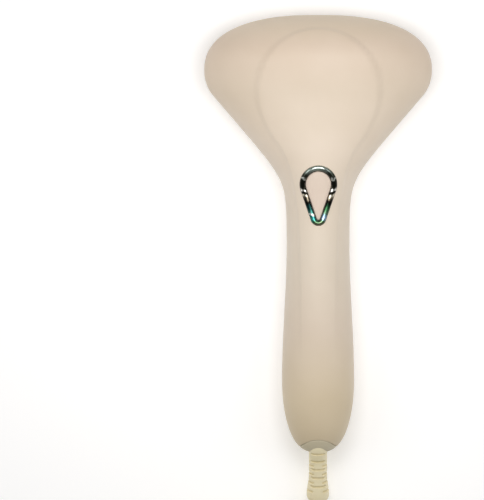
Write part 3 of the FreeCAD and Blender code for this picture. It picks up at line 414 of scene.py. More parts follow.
def half_width(y, offset=0.0):
    """Half the width at a station: blunt top, round shoulder, straight flank, neck, grip and heel."""
    top, head, shoulder = TOP + offset, HEAD_HALF + offset, SHOULDER + offset
    slope = math.tan(FLANK_ANGLE)
    if y >= WIDE_Y:
        return head * rounded_end((y - WIDE_Y) / (top - WIDE_Y), 2.4, 2.4)
    if y >= WIDE_Y - shoulder * math.sin(FLANK_ANGLE):
        return head - shoulder + math.sqrt(shoulder ** 2 - (WIDE_Y - y) ** 2)
    reach = shoulder * (slope * math.sin(FLANK_ANGLE) - (1.0 - math.cos(FLANK_ANGLE)))
    flank_y = WIDE_Y - (HEAD_HALF - NECK_HALF + reach) / slope
    handle = NECK_HALF + offset + (GRIP_HALF - NECK_HALF) * blend(NECK_Y - y, 0.0, NECK_Y - GRIP_Y)
    climb = slope * (y - flank_y) / FLANK_SOFTNESS
    handle += FLANK_SOFTNESS * math.log1p(math.exp(min(climb, 40.0)))
    return handle * rounded_end((GRIP_Y - y) / (GRIP_Y - HEEL + offset), 2.0, 2.8)


def head_share(y):
    return blend(y, NECK_Y + 11.0, NOSE_Y - 38.0)


def side_view(y, handle, head, heel, offset):
    """Rise or depth at a station, closing to nothing at both ends."""
    level = handle + (heel - handle) * blend(-y, -NECK_Y + 30.0, -GRIP_Y + 8.0)
    level += (head - handle) * head_share(y) + offset
    nose = rounded_end((y - NOSE_Y) / (TOP + offset - NOSE_Y))
    return level * nose * rounded_end((GRIP_Y - y) / (GRIP_Y - HEEL + offset))


def rise(y, offset=0.0):
    return side_view(y, HANDLE_RISE, HEAD_RISE, HEEL_RISE, offset)


def depth(y, offset=0.0):
    return side_view(y, HANDLE_DEPTH, HEAD_DEPTH, HEEL_DEPTH, offset)


print("casing %.1f mm long, head %.1f mm wide" % (2 * TOP, 2 * HEAD_HALF))

# %% [markdown]
# The front carries a raised tongue: a round field on the head that runs down as a strip over the grip.
# Its edge is a very soft crease, so it is shaped into the mesh: the wings sink a little outside it.

# %% The raised tongue
TONGUE_Y, TONGUE_RADIUS = WIDE_Y - 11.0, 34.5
CREASE_DROP, CREASE_HALF, WING_SLOPE = 1.15, 0.75, 0.05


def tongue_inside(x, y):
    """How far a point lies inside the tongue's edge, negative outside it."""
    head_field = TONGUE_RADIUS - math.hypot(x, y - TONGUE_Y)
    strip = 10.0 + 13.0 * math.exp(min(y - TONGUE_Y + 28.0, 4.0) / 22.0) - abs(x)
    if y > TONGUE_Y:
        return head_field
    softness = 3.0
    return softness * math.log(math.exp(head_field / softness) + math.exp(strip / softness))


def wing_drop(x, y):
    """How much lower the surface lies outside the tongue."""
    outside = -tongue_inside(x, y)
    step = CREASE_DROP * blend(outside, -CREASE_HALF, CREASE_HALF)
    slope = WING_SLOPE * CREASE_HALF * math.log1p(math.exp(min(outside / CREASE_HALF, 30.0)))
    return (step + slope) * blend(y, GRIP_Y, NECK_Y + 6.0)


def front_point(y, turn, offset=0.0):
    """Point of the front surface, with turn from 0 at +X over the front to pi."""
    across, up = math.cos(turn), math.sin(turn)
    reach = (abs(across) ** FRONT_CROWN + abs(up) ** FRONT_CROWN) ** (-1.0 / FRONT_CROWN)
    x = half_width(y, offset) * reach * across
    height = rise(y, offset) * reach * up
    share = min(1.0, height / 12.0)
    return (x, y, PARTING + height - wing_drop(x, y) * share * share * (3.0 - 2.0 * share))


def back_point(y, turn, offset=0.0):
    """Point of the back surface, with turn from 0 at +X under the back to pi."""
    across, up = math.cos(turn), math.sin(turn)
    power = HANDLE_BACK + (HEAD_BACK - HANDLE_BACK) * head_share(y)
    reach = (abs(across) ** power + abs(up) ** power) ** (-1.0 / power)
    return (half_width(y, offset) * reach * across, y, PARTING - depth(y, offset) * reach * up)


def front_height(x, y):
    """Height of the front surface over a point."""
    share = min(abs(x) / half_width(y), 1.0)
    height = rise(y) * (1.0 - share ** FRONT_CROWN) ** (1.0 / FRONT_CROWN)
    return PARTING + height - wing_drop(x, y)

# %% [markdown]
# Each half is a moulding of even wall. A solid skin could be hollowed by a modifier, but here the same
# formulas give the inner skin with a smaller size, so the rim between them is a clean flat band. The rim's
# outer edge is broken a little, as on a moulding, so that a fine joint shows between the halves.

# %% Half shells
ROUND_POINTS = 97
STATIONS = 220
END_FLAT = 0.12
EDGE_BREAK = 0.2


def half_shell(name, surface_point, material):
    """Closed wall: outer skin, inner skin, and the rim that meets the other half, its outer edge broken."""
    points, faces = [], []
    for offset in (0.0, -WALL):
        top = TOP + offset
        first = math.acos(1.0 - END_FLAT / top)
        for row in range(STATIONS):
            y = top * math.cos(first + (math.pi - 2.0 * first) * row / (STATIONS - 1))
            for column in range(ROUND_POINTS):
                x, _, z = surface_point(y, math.pi * column / (ROUND_POINTS - 1), offset)
                if offset == 0.0 and column in (0, ROUND_POINTS - 1):
                    x -= math.copysign(min(EDGE_BREAK, abs(x) / 2), x)
                points.append((x, y, z))
    skin = STATIONS * ROUND_POINTS
    last = ROUND_POINTS - 1
    faces += grid_faces(STATIONS, ROUND_POINTS)
    faces += [tuple(reversed(face)) for face in grid_faces(STATIONS, ROUND_POINTS, start=skin)]
    for row in range(STATIONS - 1):
        here, there = row * ROUND_POINTS, (row + 1) * ROUND_POINTS
        faces.append((here, there, skin + there, skin + here))
        faces.append((here + last, skin + here + last, skin + there + last, there + last))
    for row in (0, STATIONS - 1):
        here = row * ROUND_POINTS
        faces.append(tuple(here + column for column in range(ROUND_POINTS)))
        faces.append(tuple(skin + here + column for column in reversed(range(ROUND_POINTS))))
        faces.append((here, here + last, skin + here + last, skin + here))
    return mesh_object(name, points, faces, material)


# %% [markdown]
# The teardrop of the button is two circles joined by their tangents. Growing it by a band only moves every
# point along its normal, so one outline serves the opening, the ring and the button.

# %% Teardrop outline
DROP_Y, DROP_RADIUS = TOP - 95.1, 7.4
TIP_Y, TIP_RADIUS = TOP - 113.9, 1.3
BAND = 3.1


def teardrop():
    """Points and outward normals round the button's outline, in order."""
    lean = math.asin((DROP_RADIUS - TIP_RADIUS) / (DROP_Y - TIP_Y))
    outline = []
    for step in range(64):
        turn = -lean + (math.pi + 2.0 * lean) * step / 63
        normal = (math.cos(turn), math.sin(turn))
        outline.append(((DROP_RADIUS * normal[0], DROP_Y + DROP_RADIUS * normal[1]), normal))
    left = outline[-1]
    low_turn = math.pi + lean
    low_left = ((TIP_RADIUS * math.cos(low_turn), TIP_Y + TIP_RADIUS * math.sin(low_turn)), left[1])
    for step in range(1, 24):
        share = step / 24
        spot = tuple(start + (end - start) * share for start, end in zip(left[0], low_left[0]))
        outline.append((spot, left[1]))
    for step in range(25):
        turn = math.pi + lean + (math.pi - 2.0 * lean) * step / 24
        normal = (math.cos(turn), math.sin(turn))
        outline.append(((TIP_RADIUS * normal[0], TIP_Y + TIP_RADIUS * normal[1]), normal))
    low_right, right = outline[-1], outline[0]
    for step in range(1, 24):
        share = step / 24
        spot = tuple(start + (end - start) * share for start, end in zip(low_right[0], right[0]))
        outline.append((spot, right[1]))
    return outline


DROP = teardrop()


def drop_ring(grow, height):
    """Outline grown by a band; height is a number or a function of x and y."""
    ring = []
    for (x, y), (normal_x, normal_y) in DROP:
        place = (x + grow * normal_x, y + grow * normal_y)
        ring.append((*place, height(*place) if callable(height) else height))
    return ring


def lathe_drop(name, profile, material, body, capped=True):
    """Skin through grown outlines: profile lists (grow, height) from the top down."""
    points = []
    for grow, height in profile:
        points += drop_ring(grow, height)
    faces = closed_skin(points, len(DROP))
    if not capped:
        faces = grid_faces(len(profile), len(DROP), closed_columns=True)
        faces += [(column, (column + 1) % len(DROP), len(points) - len(DROP) + (column + 1) % len(DROP),
                   len(points) - len(DROP) + column) for column in range(len(DROP))]
    return mesh_object(name, points, faces, material, body)


def rod(name, start, end, radius, sides=64):
    """Plain round rod between two points in millimetres, used as a cutter."""
    start, end = Vector(start), Vector(end)
    turn = (end - start).to_track_quat("Z", "Y")
    points = []
    for place in (start, end):
        for side in range(sides):
            points.append(place + turn @ round_point(radius, 2.0 * math.pi * side / sides))
    return mesh_object(name, points, closed_skin(points, sides, top_down=False), casing_finish, None)


# %% [markdown]
# The front half comes out of its mould with the button's opening and the round hole of the heel already in
# it. Here both are cut, since a mould's cores leave the same clean holes.

# %% Front shell
EXIT_HEIGHT, CAP_RADIUS, CAP_DEPTH, CAP_GAP = 20.0, 10.0, 11.0, 0.55


def heel_cutter():
    """Bore for the round insert, from inside the casing to well outside its heel."""
    return rod("heel_cutter", (0, HEEL + CAP_DEPTH, EXIT_HEIGHT), (0, HEEL - 20, EXIT_HEIGHT),
               CAP_RADIUS + CAP_GAP)


front = half_shell("casing_front", front_point, casing_finish)
opening = lathe_drop("opening_cutter", [(BAND, 70.0), (BAND, 28.0)], casing_finish, None)
carve(front, opening, heel_cutter())
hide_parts("front_shell")
print("front shell:", len(front.data.vertices), "points")

# %% [markdown]
# ## Ring and button
# The ring is a plated teardrop: rounded in section, standing 0.95 mm proud, following the crown of the grip.
# A torus would not take this outline, so a half-round profile is swept along the grown outlines.

# %% Ring
RING_PROUD, RING_INSET, RING_SUNK, RING_SKIRT = 0.95, 0.06, 0.25, 5.0
RING_STEPS = 14


def over_front(lift):
    """Height a little above the front surface, as a function of the place."""
    return lambda x, y: front_height(x, y) + lift


def ring_profile():
    """Half-round section across the band, then down inside the opening and back up."""
    profile = []
    for step in range(RING_STEPS + 1):
        share = step / RING_STEPS
        bulge = math.sqrt(max(0.0, 1.0 - (2.0 * share - 1.0) ** 2))
        profile.append((RING_INSET + (BAND - 2 * RING_INSET) * share,
                        over_front((RING_PROUD + RING_SUNK) * bulge - RING_SUNK)))
    return profile + [(BAND - RING_INSET, over_front(-RING_SKIRT)), (RING_INSET, over_front(-RING_SKIRT))]


# %% [markdown]
# The ring shows silver at the top, near-black and cream bands down the sides, and green, teal and pale
# blue towards the tip, each side a little different. The green, teal and pale blue are the film's own colour,
# which depends on its thickness, and that varies round the ring. The silver-green top arc, the near-black
# bands, the cream band and the white patch and dots are painted reflections and painted highlights. All of it
# is set by the place on the ring, so it stays put from every side.

# %% Mirror plating with an oil-slick film and painted reflections
plating, plating_shader = new_material("oil_slick_plating", "#C8CCD0", 0.09, metallic=1.0)
ring_place = own_place(plating)
axes = add_node(plating, "ShaderNodeSeparateXYZ", links={"Vector": ring_place})
film_low, film_high = (TIP_Y - 5.0) * MM, (DROP_Y + 11.0) * MM
along = add_node(plating, "ShaderNodeMapRange", inputs={"From Min": film_low, "From Max": film_high},
                 links={"Value": axes.outputs["Y"]})
wander = add_node(plating, "ShaderNodeTexNoise", inputs={"Scale": 260.0, "Detail": 2.0},
                  links={"Vector": ring_place})
WANDER_SHARE = 0.16
shift = add_node(plating, "ShaderNodeMath", {"operation": "MULTIPLY_ADD"}, {1: WANDER_SHARE},
                 {0: wander.outputs["Fac"], 2: along.outputs["Result"]})
# Painted reflections and painted highlights: the near-black bands, the cream band, the white patch, the white
# dots and the silver-green top arc.
UPPER_PAINTED_REFLECTIONS = ((0.46, "#0B0B09"), (0.52, "#15140F"), (0.545, "#6F6758"), (0.577, "#DDD6C2"), (0.61, "#0E0D0A"),
              (0.65, "#14130E"), (0.675, "#E6E4DC"), (0.71, "#1A1B15"), (0.84, "#23251E"), (0.86, "#D9DDD6"),
              (0.88, "#2A2C24"), (0.93, "#3A3F38"), (1.0, "#A9B6AE"))
# The white band at 0.29 on the left is a painted glint; the other side colours are the film's own.
LEFT_FILM_AND_PAINTED_GLINT = ((0.09, "#7E7768"), (0.15, "#3F6344"), (0.20, "#3A8C88"), (0.26, "#2A6061"), (0.29, "#E9EEE8"),
             (0.32, "#3E746C"), (0.37, "#173C3A"))
RIGHT_FILM = ((0.09, "#7E7768"), (0.15, "#456A48"), (0.20, "#9DB6D2"), (0.25, "#728FA3"), (0.30, "#5E7765"),
              (0.36, "#335E3D"), (0.41, "#16301F"))


def film_and_reflection_ramp(bands):
    """Colours of the film and its painted reflections, from the tip of the teardrop, at 0, to its round top,
    at 1.
    """
    return colour_ramp(plating, shift.outputs["Value"], bands)


side = add_node(plating, "ShaderNodeMapRange", inputs={"From Min": -1.5 * MM, "From Max": 1.5 * MM},
                links={"Value": axes.outputs["X"]})
film = add_node(plating, "ShaderNodeMixRGB", links={"Fac": side.outputs["Result"],
                                                    "Color1": film_and_reflection_ramp(LEFT_FILM_AND_PAINTED_GLINT + UPPER_PAINTED_REFLECTIONS),
                                                    "Color2": film_and_reflection_ramp(RIGHT_FILM + UPPER_PAINTED_REFLECTIONS)})
plug_in(plating, film.outputs["Color"], plating_shader.inputs["Base Color"])

ring = lathe_drop("plated_ring", ring_profile(), plating, "casing", capped=False)
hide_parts("button_bezel")
print("ring stands %.2f mm proud" % RING_PROUD)

# %% [markdown]
# The button is one moulding in a paler shade than the casing. Its top continues the crown of the grip, so
# the outline is shrunk in steps towards its middle and each step is laid on that crown. The last steps bend
# down as a rounded edge, and a wider foot under the ring keeps it from falling out.

# %% Button
BUTTON_GAP, BUTTON_PROUD, EDGE_FALL = 0.3, 0.05, 0.55
FOOT_GROW, FOOT_TALL, FOOT_HOLE = 1.5, 1.8, 0.3
TOP_SHARES = (0.002, 0.25, 0.5, 0.72, 0.86, 0.94, 0.98, 1.0)


def button_shape():
    """Cap crowned like the grip, with a rounded edge and a wider foot inside the casing."""
    middle_y = (DROP_Y + TIP_Y) / 2 + 3.0
    rim = drop_ring(-BUTTON_GAP, 0.0)
    points = []
    for share in TOP_SHARES:
        fall = EDGE_FALL * (1.0 - math.sqrt(1.0 - share ** 14))
        for x, y, _ in rim:
            place = (x * share, middle_y + (y - middle_y) * share)
            points.append((*place, front_height(*place) + BUTTON_PROUD - fall))
    foot_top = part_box("button_bezel")[0][2] / MM - BUTTON_GAP
    foot_low = foot_top - FOOT_TALL
    for grow, height in ((-BUTTON_GAP, foot_top), (FOOT_GROW, foot_top), (FOOT_GROW, foot_low)):
        points += drop_ring(grow, height)
    points += [(x * FOOT_HOLE, middle_y + (y - middle_y) * FOOT_HOLE, foot_low) for x, y, _ in rim]
    return mesh_object("teardrop_button", points, closed_skin(points, len(DROP)), button_finish, "button")


button = button_shape()
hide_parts("steam_button")
print("button %.1f mm long" % (DROP_Y + DROP_RADIUS - TIP_Y + TIP_RADIUS))

# %% [markdown]
# ## Lead: sleeve, cord, coil and plug
# The sleeve is one moulding of soft PVC with staggered slots, so that it bends evenly and the lead never
# kinks at the heel. Each slot is a dent in the tube's own grid, which gives soft rims like the real moulding.

# %% Sleeve
DROOP = math.radians(20.0)
SLEEVE_LONG, SLEEVE_RADIUS, SLEEVE_FLARE, SLEEVE_BORE = 37.0, 5.15, 6.3, 3.6
ROOT_LIFT = 2.8
LIP_LONG, LIP_FALL = 3.2, 2.1
sleeve_start = Vector((0.0, HEEL + CAP_DEPTH - 3.0, EXIT_HEIGHT))
sleeve_way = Vector((0.0, -math.cos(DROOP), -math.sin(DROOP)))
SLOT_PITCH, SLOT_HALF, SLOT_DEEP, SLOT_SOFT = 5.03, 0.6, 1.25, 0.2
FRONT_SLOTS = {"first": SLEEVE_LONG - 9.5, "side_turn": 0.0, "reach": 0.95, "count": 5}
SIDE_SLOTS = {"first": SLEEVE_LONG - 6.6, "side_turn": math.pi / 2, "reach": 1.15, "count": 4}


def slot_share(along, turn, first, side_turn, reach, count):
    """1 inside a slot, 0 outside, with soft rims; reach is how far it goes round, in radians each way."""
    nearest = min(abs(along - (first - SLOT_PITCH * number)) for number in range(count))
    swing = abs((turn - side_turn + math.pi / 2) % math.pi - math.pi / 2)
    depth_share = 1.0 - blend(nearest, SLOT_HALF * 0.55, SLOT_HALF * 1.25)
    return depth_share * (1.0 - blend(swing, reach - SLOT_SOFT, reach))


def sleeve_radius(along, turn):
    """Outside of the sleeve: straight, then flared, with a rounded lip and the slots."""
    flare = SLEEVE_FLARE - SLEEVE_RADIUS
    radius = SLEEVE_RADIUS + flare * blend(along, SLEEVE_LONG - 15.0, SLEEVE_LONG - 4.0)
    radius -= LIP_FALL * (1.0 - rounded_end((along - SLEEVE_LONG + LIP_LONG) / LIP_LONG))
    return radius - SLOT_DEEP * max(slot_share(along, turn, **slots) for slots in (FRONT_SLOTS, SIDE_SLOTS))


def sleeve_shape():
    """Tube down the lead, its root lifted towards the middle of the round insert."""
    rows, sides = ((260, 120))
    turn_to = sleeve_way.to_track_quat("Z", "Y")
    up = turn_to.inverted() @ Vector((0, 0, 1))
    facing = math.atan2(up.y, up.x)
    above = Vector((0.0, -math.sin(DROOP), math.cos(DROOP)))
    points = []
    for row in range(rows):
        along = SLEEVE_LONG * row / (rows - 1)
        middle = sleeve_start + above * ROOT_LIFT * (1.0 - blend(along, 3.0, 15.0))
        for side in range(sides):
            turn = 2.0 * math.pi * side / sides
            radius = sleeve_radius(along, turn - facing)
            points.append(middle + turn_to @ round_point(radius, turn, along))
    for along in (SLEEVE_LONG - 0.02, 0.0):
        for side in range(sides):
            inner = round_point(SLEEVE_BORE, 2.0 * math.pi * side / sides, along)
            points.append(sleeve_start + turn_to @ inner)
    faces = grid_faces(rows + 2, sides, closed_rows=True, closed_columns=True)
    return mesh_object("slotted_sleeve", points, faces, sleeve_finish, smooth_angle=50.0)


sleeve = sleeve_shape()
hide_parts("strain_relief")
print("sleeve %.0f mm long, slots every %.2f mm" % (SLEEVE_LONG, SLOT_PITCH))

# %% [markdown]
# The lead is 1.8 m of two-core mains cord. It leaves the sleeve, drops to the table and runs into a neat
# round coil, tied once. It winds inwards over three columns on the table, outwards over the same three on top
# of them, and ends on a third layer at the plug. One smooth spline carries all of it, so no joint shows.

# %% Cord route
LEAD, FIRST_LEG = 7.0, 17.6
ARRIVE_X, MEET_RADIUS, BOW = 44.5, 48.0, 1.2
TABLE_HEIGHT = LEAD / 2 + 0.1
sleeve_end = sleeve_start + sleeve_way * SLEEVE_LONG
fall = (sleeve_end.z - TABLE_HEIGHT) / math.sin(DROOP)
touch_down = sleeve_end + sleeve_way * fall
coil_low, coil_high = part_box("cord_coil")
COIL_X = (coil_low[0] + coil_high[0]) / 2 / MM
COIL_Y = (coil_low[1] + coil_high[1]) / 2 / MM
COIL_MIDDLE, STEP = 37.3, 7.12
first_radius = COIL_MIDDLE + STEP
meet_y = COIL_Y + math.sqrt(MEET_RADIUS ** 2 - ARRIVE_X ** 2)
route = [sleeve_end - sleeve_way * (FIRST_LEG - fall), touch_down,
         Vector((COIL_X + ARRIVE_X + BOW, (touch_down.y + meet_y) / 2 - 1.0, TABLE_HEIGHT)),
         Vector((COIL_X + ARRIVE_X, meet_y, TABLE_HEIGHT))]

# %% [markdown]
# A hand winds a coil turn by turn, and each turn shifts sideways or climbs onto the last one over half a
# turn. The loop below does the same: a list says where each shift starts, in turns, and whether the cord
# then moves in or out by one column or up by one layer. The end bends gently into the plug on top.

# %% Coil turns
SHIFTS = ((0.65, -1, 0), (1.65, -1, 0), (2.45, 0, 1), (3.25, 1, 0), (4.25, 1, 0), (5.05, 0, 1), (5.75, -1, 0))
SHIFT_WIDE, WHOLE_TURNS = 0.5, 7.0
LAST_OUT_FROM, LAST_OUT_TO, CLIMB_FROM = 6.68, 7.05, 6.52
POINTS_PER_TURN = 24
PLUG_BEND = 30.0
plug_low, plug_high = [Vector(corner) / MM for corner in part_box("plug_body")]
plug_height = (plug_low.z + plug_high.z) / 2
tail_y = (plug_low.y + plug_high.y) / 2
bend_angle = math.asin((COIL_Y - tail_y - PLUG_BEND) / (first_radius - PLUG_BEND))
last_turn = WHOLE_TURNS + bend_angle / (2.0 * math.pi)
for step in range(int(last_turn * POINTS_PER_TURN) + 1):
    progress = step / POINTS_PER_TURN
    column = 1.0 + blend(progress, LAST_OUT_FROM, LAST_OUT_TO)
    layer = 0.0
    for start, aside, upward in SHIFTS:
        column += aside * blend(progress, start, start + SHIFT_WIDE)
        layer += upward * blend(progress, start, start + SHIFT_WIDE)
    radius = COIL_MIDDLE + STEP * column
    turn = -2.0 * math.pi * progress
    height = TABLE_HEIGHT + layer * STEP
    height += (plug_height - height) * blend(progress, CLIMB_FROM, last_turn)
    route.append(Vector((COIL_X + radius * math.cos(turn), COIL_Y + radius * math.sin(turn), height)))
bend_x = COIL_X + (first_radius - PLUG_BEND) * math.cos(bend_angle)
bend_y = COIL_Y - (first_radius - PLUG_BEND) * math.sin(bend_angle)
BEND_STEPS = 6
for step in range(1, BEND_STEPS + 1):
    turn = -bend_angle - (math.pi / 2 - bend_angle) * step / BEND_STEPS
    route.append(Vector((bend_x, bend_y, 0.0)) + round_point(PLUG_BEND, turn, plug_height))
route.append(Vector((bend_x - 4.0, tail_y, plug_height)))
print("coil of %.2f turns, %d route points" % (last_turn, len(route)))

# %% [markdown]
# The cord itself is that spline with a round section, as an extruder lays a sheath on its wires.

# %% Cord
def spline_tube(name, points_mm, diameter_mm, material):
    """Round cord along one smooth spline."""
    data = bpy.data.curves.new(name, "CURVE")
    data.dimensions = "3D"
    data.bevel_depth = diameter_mm * MM / 2
    data.bevel_resolution = 6
    data.resolution_u = 6
    data.use_fill_caps = True
    line = data.splines.new("NURBS")
    line.points.add(len(points_mm) - 1)
    for point, place in zip(line.points, points_mm):
        point.co = (*(Vector(place) * MM), 1.0)
    line.order_u = 3
    line.use_endpoint_u = True
    piece = bpy.data.objects.new(name, data)
    scene.collection.objects.link(piece)
    data.materials.append(material)
    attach(piece, "casing")
    return piece


cord = spline_tube("mains_lead", route, LEAD, lead_finish)
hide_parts("power_cord", "cord_coil")
print("lead: %d control points" % len(cord.data.splines[0].points))

# %% [markdown]
# The plug is a flat two-pin moulding, lying on the coil. Its body is a rounded slab with grip ribs, made
# by shrinking a rounded rectangle towards both faces, and it keeps the overall size of the real standard.

# %% Plug
TAIL_LONG = 14.0
PLUG_CORNER, PLUG_EDGE, EDGE_STEPS = 7.5, 3.0, 6
body_high_x = plug_high.x - TAIL_LONG


def rounded_rectangle(half_long, half_wide, corner, count=12):
    """Corner arcs joined by straight sides, as points in a plane."""
    outline = []
    for number, (sign_x, sign_y) in enumerate(((1, 1), (-1, 1), (-1, -1), (1, -1))):
        for step in range(count + 1):
            turn = math.pi / 2 * (number + step / count)
            outline.append((sign_x * (half_long - corner) + corner * math.cos(turn),
                            sign_y * (half_wide - corner) + corner * math.sin(turn)))
    return outline


def slab(name, middle, half_long, half_wide, half_tall, corner, edge, material):
    """Flat moulding with rounded corners and rounded edges, thin along Z."""
    levels = []
    for step in range(EDGE_STEPS + 1):
        turn = math.pi / 2 * step / EDGE_STEPS
        levels.append((edge * (1 - math.sin(turn)), half_tall - edge + edge * math.cos(turn)))
    profile = levels + [(inset, -height) for inset, height in reversed(levels)]
    points = []
    for inset, height in profile:
        for x, y in rounded_rectangle(half_long - inset, half_wide - inset, max(corner - inset, 0.3)):
            points.append((middle[0] + x, middle[1] + y, middle[2] + height))
    columns = len(rounded_rectangle(half_long, half_wide, corner))
    return mesh_object(name, points, closed_skin(points, columns), material)


plug_middle = ((plug_low.x + body_high_x) / 2, tail_y, plug_height)
plug = slab("plug_moulding", plug_middle, (body_high_x - plug_low.x) / 2, (plug_high.y - plug_low.y) / 2,
            (plug_high.z - plug_low.z) / 2, PLUG_CORNER, PLUG_EDGE, lead_finish)
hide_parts("plug_body")


def turned(name, start, way, profile, material, sides=48):
    """Turned piece: profile lists (distance along, radius); closed at both ends."""
    turn_to = Vector(way).to_track_quat("Z", "Y")
    points = []
    for along, radius in profile:
        for side in range(sides):
            points.append(Vector(start) + turn_to @ round_point(radius, 2.0 * math.pi * side / sides, along))
    return mesh_object(name, points, closed_skin(points, sides, top_down=False), material)


def cord_line(piece):
    """Points along a cord's own spline, from its far end back, in millimetres."""
    bare = bpy.data.objects.new("bare_cord", piece.data.copy())
    bare.data.bevel_depth = 0.0
    scene.collection.objects.link(bare)
    line = bpy.data.meshes.new_from_object(bare)
    points = [vertex.co / MM for vertex in reversed(line.vertices)]
    bpy.data.curves.remove(bare.data)
    bpy.data.meshes.remove(line)
    return points


def place_along(line, distance):
    """Point and direction at a distance along a line of points."""
    for here, there in zip(line, line[1:]):
        reach = (there - here).length
        if distance <= reach:
            break
        distance -= reach
    way = (there - here).normalized()
    return here + way * distance, way


RIB_TALL = 0.8


def bent_tail():
    """Ribbed tail of the plug, bent with the last stretch of the cord."""
    line = cord_line(cord)
    inside = body_high_x - line[0].x
    profile = [(-1.5, 5.4), (0.5, 5.4)]
    for rib in range(4):
        base, wide = 1.2 + rib * 3.0, 5.3 - 0.25 * rib
        profile += [(base, wide - RIB_TALL), (base + 0.9, wide - RIB_TALL), (base + 1.2, wide),
                    (base + 2.6, wide - 0.1)]
    profile += [(TAIL_LONG - 0.6, 4.3), (TAIL_LONG, 3.9)]
    points, sides = [], 48
    for along, radius in profile:
        middle, way = place_along(line, inside + along)
        across = Vector((-way.y, way.x, 0.0)).normalized()
        up = way.cross(across)
        for side in range(sides):
            angle = 2.0 * math.pi * side / sides
            points.append(middle + radius * (across * math.cos(angle) + up * math.sin(angle)))
    return mesh_object("plug_tail", points, closed_skin(points, sides, top_down=False), lead_finish)


plug_tail = bent_tail()

# %% [markdown]
# The two pins are turned brass, plated with nickel, with rounded ends so that they find their holes. The
# first half carries a plastic sleeve on the real plug, a hair thicker than the bare metal. Here that is only
# a step in the turned shape.

# %% Pins
pins_low, pins_high = [Vector(corner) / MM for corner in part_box("plug_pins")]
PIN_RADIUS = 2.0
pin_profile = [(0.0, PIN_RADIUS), (10.0, PIN_RADIUS), (10.05, 1.92), (17.6, 1.92), (18.4, 1.7), (18.85, 1.1),
               (19.0, 0.4)]
for side, pin_y in (("left", pins_low.y + PIN_RADIUS), ("right", pins_high.y - PIN_RADIUS)):
    pin = turned("plug_pin_" + side, (pins_high.x, pin_y, plug_height), (-1, 0, 0), pin_profile, pin_finish)
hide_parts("plug_pins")
print("plug %.0f mm wide, pins %.0f mm apart" %
      (plug_high.y - plug_low.y, pins_high.y - pins_low.y - 2 * PIN_RADIUS))

# %% [markdown]
# The tie is a woven hook-and-loop strap. Cloth tape has even edges and a visible weave, so the loop is a
# flat band with softened edges, and cells about a millimetre wide colour it and roughen it. The real weave
# is finer; it is drawn coarser so that it still shows.

# %% Tie
tie_low, tie_high = [Vector(corner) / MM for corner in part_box("coil_tie")]
strap_finish, strap_shader = new_material("woven_hook_strap", "#CFC8B8", 0.8, sheen_weight=0.3)
weave = add_node(strap_finish, "ShaderNodeTexVoronoi", inputs={"Scale": 1.0 / (0.9 * MM)},
                 links={"Vector": own_place(strap_finish)})
weave_colour = colour_ramp(strap_finish, weave.outputs["Distance"], ((0.0, "#CFC8B8"), (1.0, "#B3AB99")))
plug_in(strap_finish, weave_colour, strap_shader.inputs["Base Color"])
add_bump(strap_finish, strap_shader, weave.outputs["Distance"], 0.6, 0.0002)
STRAP_THICK, STRAP_CORNER, STRAP_BULGE = 0.7, 4.5, 1.03


def strap_loop():
    """Flat strap round the bundle: a rounded loop of even thickness with softened edges."""
    middle_x, middle_z = (tie_low.x + tie_high.x) / 2, (tie_low.z + tie_high.z) / 2
    middle_y, half_wide = (tie_low.y + tie_high.y) / 2, (tie_high.y - tie_low.y) / 2
    half_long, half_tall = (tie_high.x - tie_low.x) / 2, (tie_high.z - tie_low.z) / 2
    outer, inner = [rounded_rectangle(half_long - inset, half_tall - inset, STRAP_CORNER - inset)
                    for inset in (0.0, STRAP_THICK)]
    section = [(0.0, -1.0), (0.0, 1.0), (0.12, STRAP_BULGE), (0.88, STRAP_BULGE), (1.0, 1.0), (1.0, -1.0),
               (0.88, -STRAP_BULGE), (0.12, -STRAP_BULGE)]
    points = []
    for share, side in section:
        for (x_out, z_out), (x_in, z_in) in zip(outer, inner):
            points.append((middle_x + x_out + (x_in - x_out) * share,
                           middle_y + side * half_wide / STRAP_BULGE,
                           middle_z + z_out + (z_in - z_out) * share))
    faces = grid_faces(len(section), len(outer), closed_rows=True, closed_columns=True)
    return mesh_object("coil_strap", points, faces, strap_finish)


strap = strap_loop()
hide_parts("coil_tie")
print("strap %.1f mm wide" % (tie_high.y - tie_low.y))

# %% [markdown]
# ## Back of the casing
# The back half is made like the front, then opened for the hot plate's surround, the water filler and
# the six screws, whose heads sit at the bottom of moulded wells.

# %% Rear shell
fan_low, fan_high = [Vector(corner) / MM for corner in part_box("plate_frame")]
rear = half_shell("casing_back", back_point, casing_finish)
FAN_TOP_GAP, FAN_FOOT_HALF, FAN_TOP_CORNER, FAN_FOOT_CORNER = 3.0, 22.0, 20.0, 13.0
FAN_PLAY = 0.15


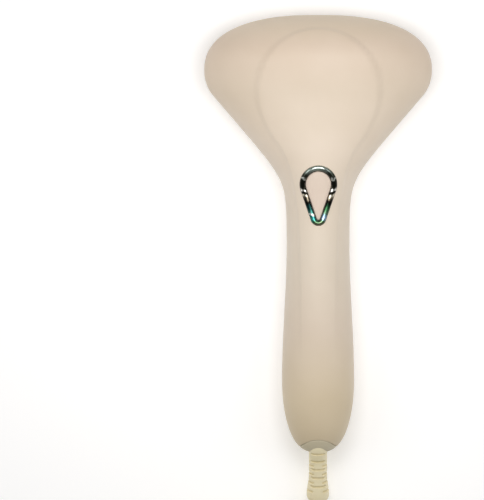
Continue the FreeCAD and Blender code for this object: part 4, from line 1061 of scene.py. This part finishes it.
def fan_outline(inset):
    """The surround's outline: a fan with rounded corners, shrunk by an inset."""
    top_half, top_y = HEAD_HALF - FAN_TOP_GAP - inset * 1.1, fan_high.y - inset
    foot_half, foot_y = FAN_FOOT_HALF - inset * 0.6, fan_low.y + inset
    top_corner, foot_corner = FAN_TOP_CORNER - inset / 2, FAN_FOOT_CORNER - inset / 2
    corners = [(-top_half, top_y, top_corner), (-foot_half, foot_y, foot_corner),
               (foot_half, foot_y, foot_corner), (top_half, top_y, top_corner)]
    outline = []
    for number, (x, y, radius) in enumerate(corners):
        before, after = corners[number - 1], corners[(number + 1) % 4]
        arrive = Vector((x - before[0], y - before[1])).normalized()
        leave = Vector((after[0] - x, after[1] - y)).normalized()
        turn = arrive.angle(leave)
        trim = radius * math.tan(turn / 2)
        spot = Vector((x, y))
        entry, inward = spot - arrive * trim, Vector((-arrive.y, arrive.x))
        centre = entry + inward * radius
        for step in range(17):
            swing = turn * step / 16
            arm = -inward * radius
            outline.append(centre + Vector((arm.x * math.cos(swing) - arm.y * math.sin(swing),
                                            arm.x * math.sin(swing) + arm.y * math.cos(swing))))
    return outline


def fan_cutter():
    """Cutter a hair larger than the surround, from below the back to above its wall."""
    outline = fan_outline(-FAN_PLAY)
    points = [(spot.x, spot.y, height) for height in (-5.0, 9.0) for spot in outline]
    return mesh_object("fan_cutter", points, closed_skin(points, len(outline)), casing_finish, None)


surround_cutter = fan_cutter()
FILLER_Y, FILLER_RADIUS, WELL_RADIUS = TOP - 144.5, 9.2, 2.95
filler_cutter = rod("filler_cutter", (0, FILLER_Y, -5), (0, FILLER_Y, 12), FILLER_RADIUS)
head_screw_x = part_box("shell_screws")[1][0] / MM - 2.75
SCREW_ROWS = ((head_screw_x, fan_low.y + 26.0), (10.0, TOP - 129.1), (11.0, HEEL + 25.2))
screw_spots = [(side * x, y) for x, y in SCREW_ROWS for side in (-1, 1)]
screw_cutters = [rod("screw_cutter", (x, y, -5), (x, y, 15), WELL_RADIUS, sides=40) for x, y in screw_spots]
carve(rear, surround_cutter, filler_cutter, heel_cutter(), *screw_cutters)
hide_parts("rear_shell")
print("rear shell:", len(rear.data.vertices), "points, screws at", screw_spots)

# %% [markdown]
# The working parts inside, the round insert and the parts that show at the back are the mechanical model's
# own solids. Their shapes are plain enough to stay, so each only gets the finish of what it is made of; the
# round insert's finish also carries painted shade.

# %% Finishes on the mechanical parts
FINISHED_NODES = (
    (cap_finish_painted_shade, "cord_end_cap"), (plate_finish, "steam_plate"), (frame_finish, "plate_frame"),
    (cast_finish, "boiler_block"), (sheet_finish, "heat_shield"), (board_finish, "control_board"),
    (silicone_finish, "plate_gasket fill_plug suction_hose feed_hose"),
    (steel_finish, "heating_element thermostat thermal_fuse pickup_weight pump_piston"),
    (zinc_finish, "boiler_screws piston_spring button_spring clamp_screws shell_screws"),
    (black_finish, "pump_body check_valve micro_switch switch_plunger cord_clamp"),
    (tank_finish, "water_tank terminal_block"), (wire_finish, "mains_wires heater_wires"))
finished = 0
for finish, node_names in FINISHED_NODES:
    for node_name in node_names.split():
        finished += 1
        for material_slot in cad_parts[node_name].material_slots:
            material_slot.material = finish
print(finished, "nodes finished")
